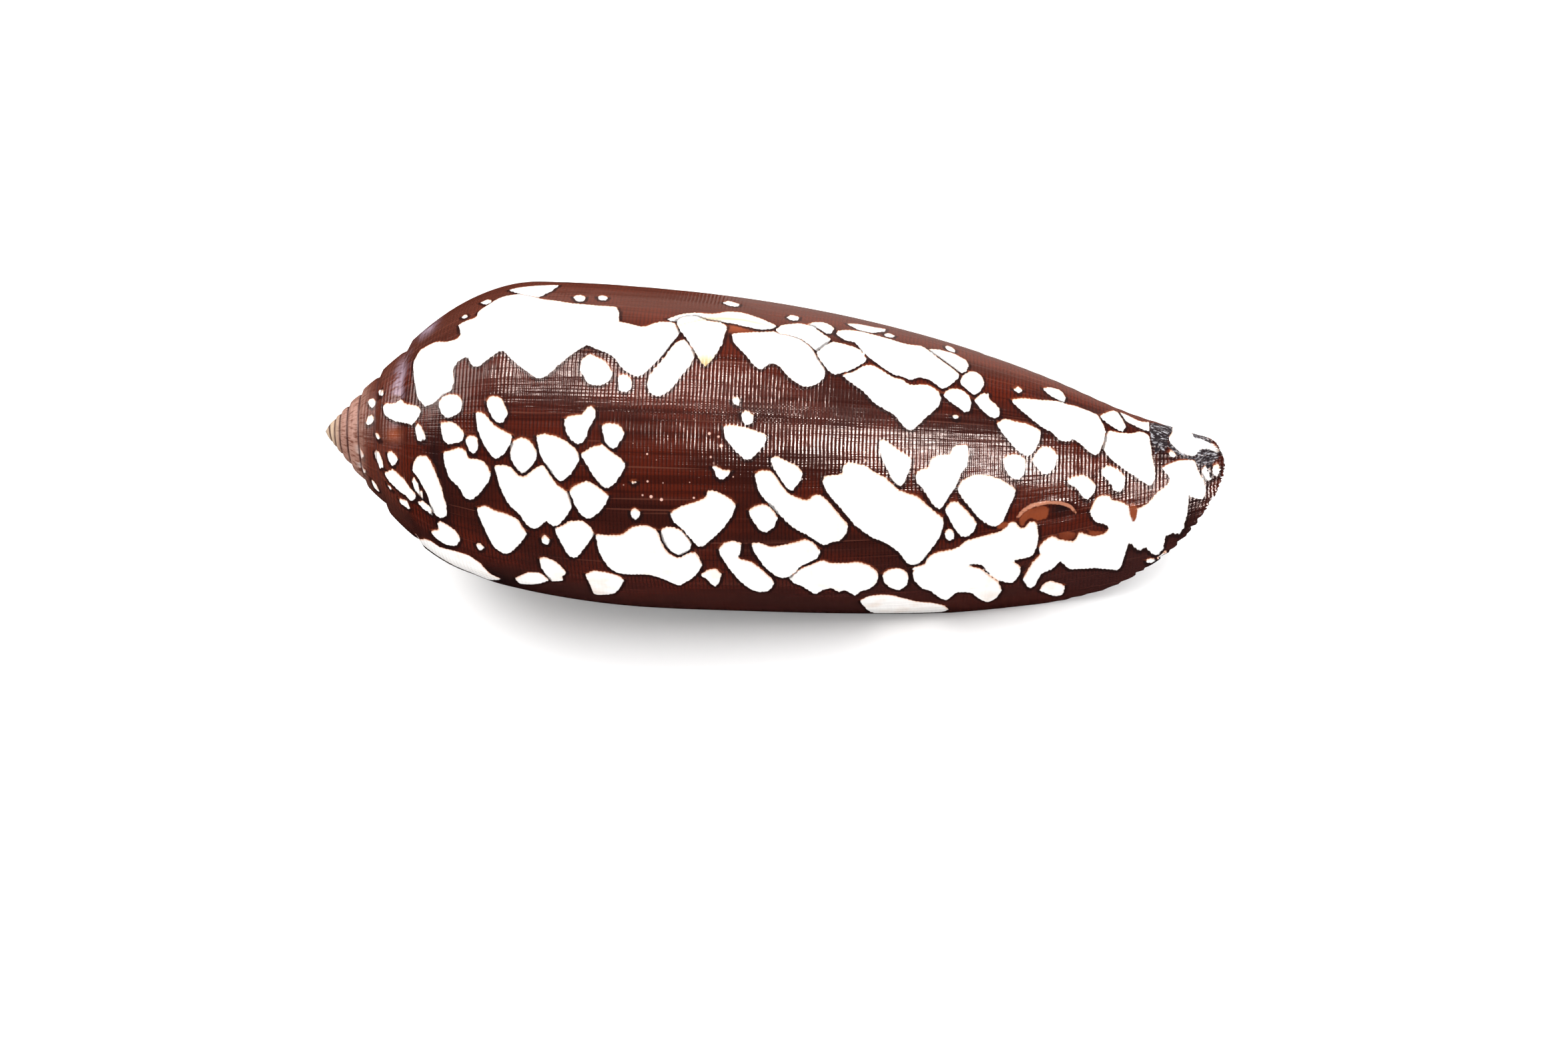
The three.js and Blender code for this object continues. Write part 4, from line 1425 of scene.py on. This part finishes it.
rusty_depth = calc("ADD", stored("rusty"), ragged)
rusty = lay_over(step_between(clouds, *RUSTY_CLOUDS), RED_BROWN, RUST)
painted = lay_over(step_between(rusty_depth, -RUSTY_SOFTNESS, RUSTY_SOFTNESS), painted, rusty)
arch_depth = calc("ADD", stored("scar_arch"), calc("MULTIPLY", ragged, ARCH_RAGGEDNESS))
painted = lay_over(step_between(arch_depth, *ARCH_EDGE), painted, SCAR_TAN)
worn = lay_over(step_between(noise(1.3, 1.6, detail=4.0), *WORN_RANGE), WORN_DARK, WORN_GREY)
worn_depth = calc("ADD", stored("worn"), calc("MULTIPLY", ragged, WORN_RAGGEDNESS))
painted = lay_over(step_between(worn_depth, -WORN_SOFTNESS, WORN_SOFTNESS), painted, worn)
print("nodes after the scar and the wear:", len(tree.nodes))

# %% First whorls and mouth
YOUNG_TAN = (0.32, 0.17, 0.13)
YOUNG_RANGE = (0.45, 0.7)
YOUNG_END = (6.4, 4.0)
APEX_CREAM = (0.50, 0.36, 0.25)
APEX_END = (2.6, 0.8)
SUTURE_BROWN = (0.06, 0.02, 0.018)
SUTURE_WIDTH = 0.22
SUTURE_END = (9.0, 6.0)
PORCELAIN = (0.80, 0.79, 0.80)

young = lay_over(step_between(noise(1.2, 1.0), *YOUNG_RANGE), YOUNG_TAN, WARM_BROWN)
painted = lay_over(step_between(along_mm, *YOUNG_END), painted, young)
painted = lay_over(step_between(along_mm, *APEX_END), painted, APEX_CREAM)
suture_line = step_between(stored("suture"), SUTURE_WIDTH, 0.0)
suture_share = calc("MULTIPLY", suture_line, step_between(along_mm, *SUTURE_END))
painted = lay_over(suture_share, painted, SUTURE_BROWN)
painted = lay_over(stored("lining"), painted, PORCELAIN)
put(shader.inputs["Base Color"], painted)
print("nodes after the first whorls and the mouth:", len(tree.nodes))

# %% Gloss and fine relief
THREAD_HEIGHT = 0.016
LINE_HEIGHT = 0.05
STRIA_HEIGHT = 0.04
SUTURE_DEPTH = 0.06
ROUGHNESS_LEAST = 0.10
ROUGHNESS_VARIES = 0.2
SPECULAR = 0.35

striae = noise(5.0, 0.05, detail=2.0)
fine_relief = calc("MULTIPLY", threads, THREAD_HEIGHT)
fine_relief = calc("ADD", fine_relief, calc("MULTIPLY", growth_lines, LINE_HEIGHT))
fine_relief = calc("ADD", fine_relief, calc("MULTIPLY", striae, STRIA_HEIGHT))
fine_relief = calc("SUBTRACT", fine_relief, calc("MULTIPLY", suture_line, SUTURE_DEPTH))
bump = tree.nodes.new("ShaderNodeBump")
put(bump.inputs["Height"], fine_relief)
put(bump.inputs["Strength"], 1.0)
put(bump.inputs["Distance"], MM)
put(shader.inputs["Normal"], bump.outputs["Normal"])
roughness = calc("ADD", calc("MULTIPLY", growth_lines, ROUGHNESS_VARIES), ROUGHNESS_LEAST)
put(shader.inputs["Roughness"], roughness)
put(shader.inputs["Specular IOR Level"], SPECULAR)
shell_data.materials.append(glaze)
print("nodes in the shell's paint:", len(tree.nodes))

# %% [markdown]
# ## Floor, light and background
# The photograph was taken in bright light on white. A large lamp overhead and a white world light the shell
# evenly. The glints on a glossy shell are mirror images of lamps, so each glint has a small lamp of its own
# that shows in reflections only. A card behind the shell does the same for the sheen along its top edge. One
# lamp for both tasks would either leave the shell too dark or wash the glints out.

# %% Floor
FLOOR_SIZE = 6.0
FLOOR_WHITE = (0.9, 0.9, 0.9)
FLOOR_ROUGHNESS = 0.9

floor_mesh = bmesh.new()
bmesh.ops.create_grid(floor_mesh, x_segments=1, y_segments=1, size=FLOOR_SIZE / 2)
floor_data = bpy.data.meshes.new("floor")
floor_mesh.to_mesh(floor_data)
floor = bpy.data.objects.new("floor", floor_data)
bpy.context.scene.collection.objects.link(floor)
floor_paint = bpy.data.materials.new("floor_white")
floor_paint.use_nodes = True
floor_shader = floor_paint.node_tree.nodes["Principled BSDF"]
floor_shader.inputs["Base Color"].default_value = (*FLOOR_WHITE, 1.0)
floor_shader.inputs["Roughness"].default_value = FLOOR_ROUGHNESS
floor_data.materials.append(floor_paint)
floor.visible_glossy = False
print("floor is", FLOOR_SIZE, "m wide")

# %% Lamps
SOFTBOX_DISTANCE = 0.6
WARM_LIGHT = (1.0, 0.80, 0.74)
CARD_PLACE = (0.045, 0.085, 0.001)
CARD_SIZE = (0.11, 0.13)
CARD_WATTS = 0.018
DOWN = Vector((0, 0, -1))


def add_lamp(name, place, backward, size, watts):
    """A flat lamp of a given length and width that shines against the backward direction."""
    lamp = bpy.data.lights.new(name, "AREA")
    lamp.shape = "RECTANGLE"
    lamp.size, lamp.size_y = size
    lamp.energy = watts
    softbox = bpy.data.objects.new(name, lamp)
    bpy.context.scene.collection.objects.link(softbox)
    softbox.location = place
    softbox.visible_camera = False
    softbox.rotation_euler = backward.to_track_quat("Z", "Y").to_euler()
    return softbox


def add_softbox(name, lean_y, lean_x, size, watts):
    """A lamp that looks at the shell from a given distance; the leans are degrees from overhead."""
    lean = Vector((math.tan(math.radians(lean_x)), math.tan(math.radians(lean_y)), 1.0))
    direction = lean.normalized()
    return add_lamp(name, direction * SOFTBOX_DISTANCE, direction, size, watts)


glints = [
    add_softbox("left_strip", 17, -8, (0.08, 0.18), 4.6),
    add_softbox("right_strip", -25, 38, (0.13, 0.13), 9.0),
    add_softbox("back_strip", 84, 20, (0.40, 0.40), 0.25),
    add_softbox("spire_strip", 30, -60, (0.30, 0.30), 2.4),
    add_lamp("back_card", CARD_PLACE, DOWN, CARD_SIZE, CARD_WATTS),
]
for glint in glints:
    glint.visible_diffuse = False
    glint.data.color = WARM_LIGHT
overhead = add_softbox("overhead_softbox", 35, 0, (1.6, 1.6), 18.5)
overhead.visible_glossy = False
print("lamps that show in reflections only:", len(glints))

# %% Background
WORLD_STRENGTH = 1.05

studio = bpy.data.worlds.new("studio")
studio.use_nodes = True
background = studio.node_tree.nodes["Background"]
background.inputs["Color"].default_value = (1, 1, 1, 1)
background.inputs["Strength"].default_value = WORLD_STRENGTH
studio.cycles_visibility.glossy = False
bpy.context.scene.world = studio
bpy.context.scene.view_settings.view_transform = "Standard"
print("world strength:", WORLD_STRENGTH)
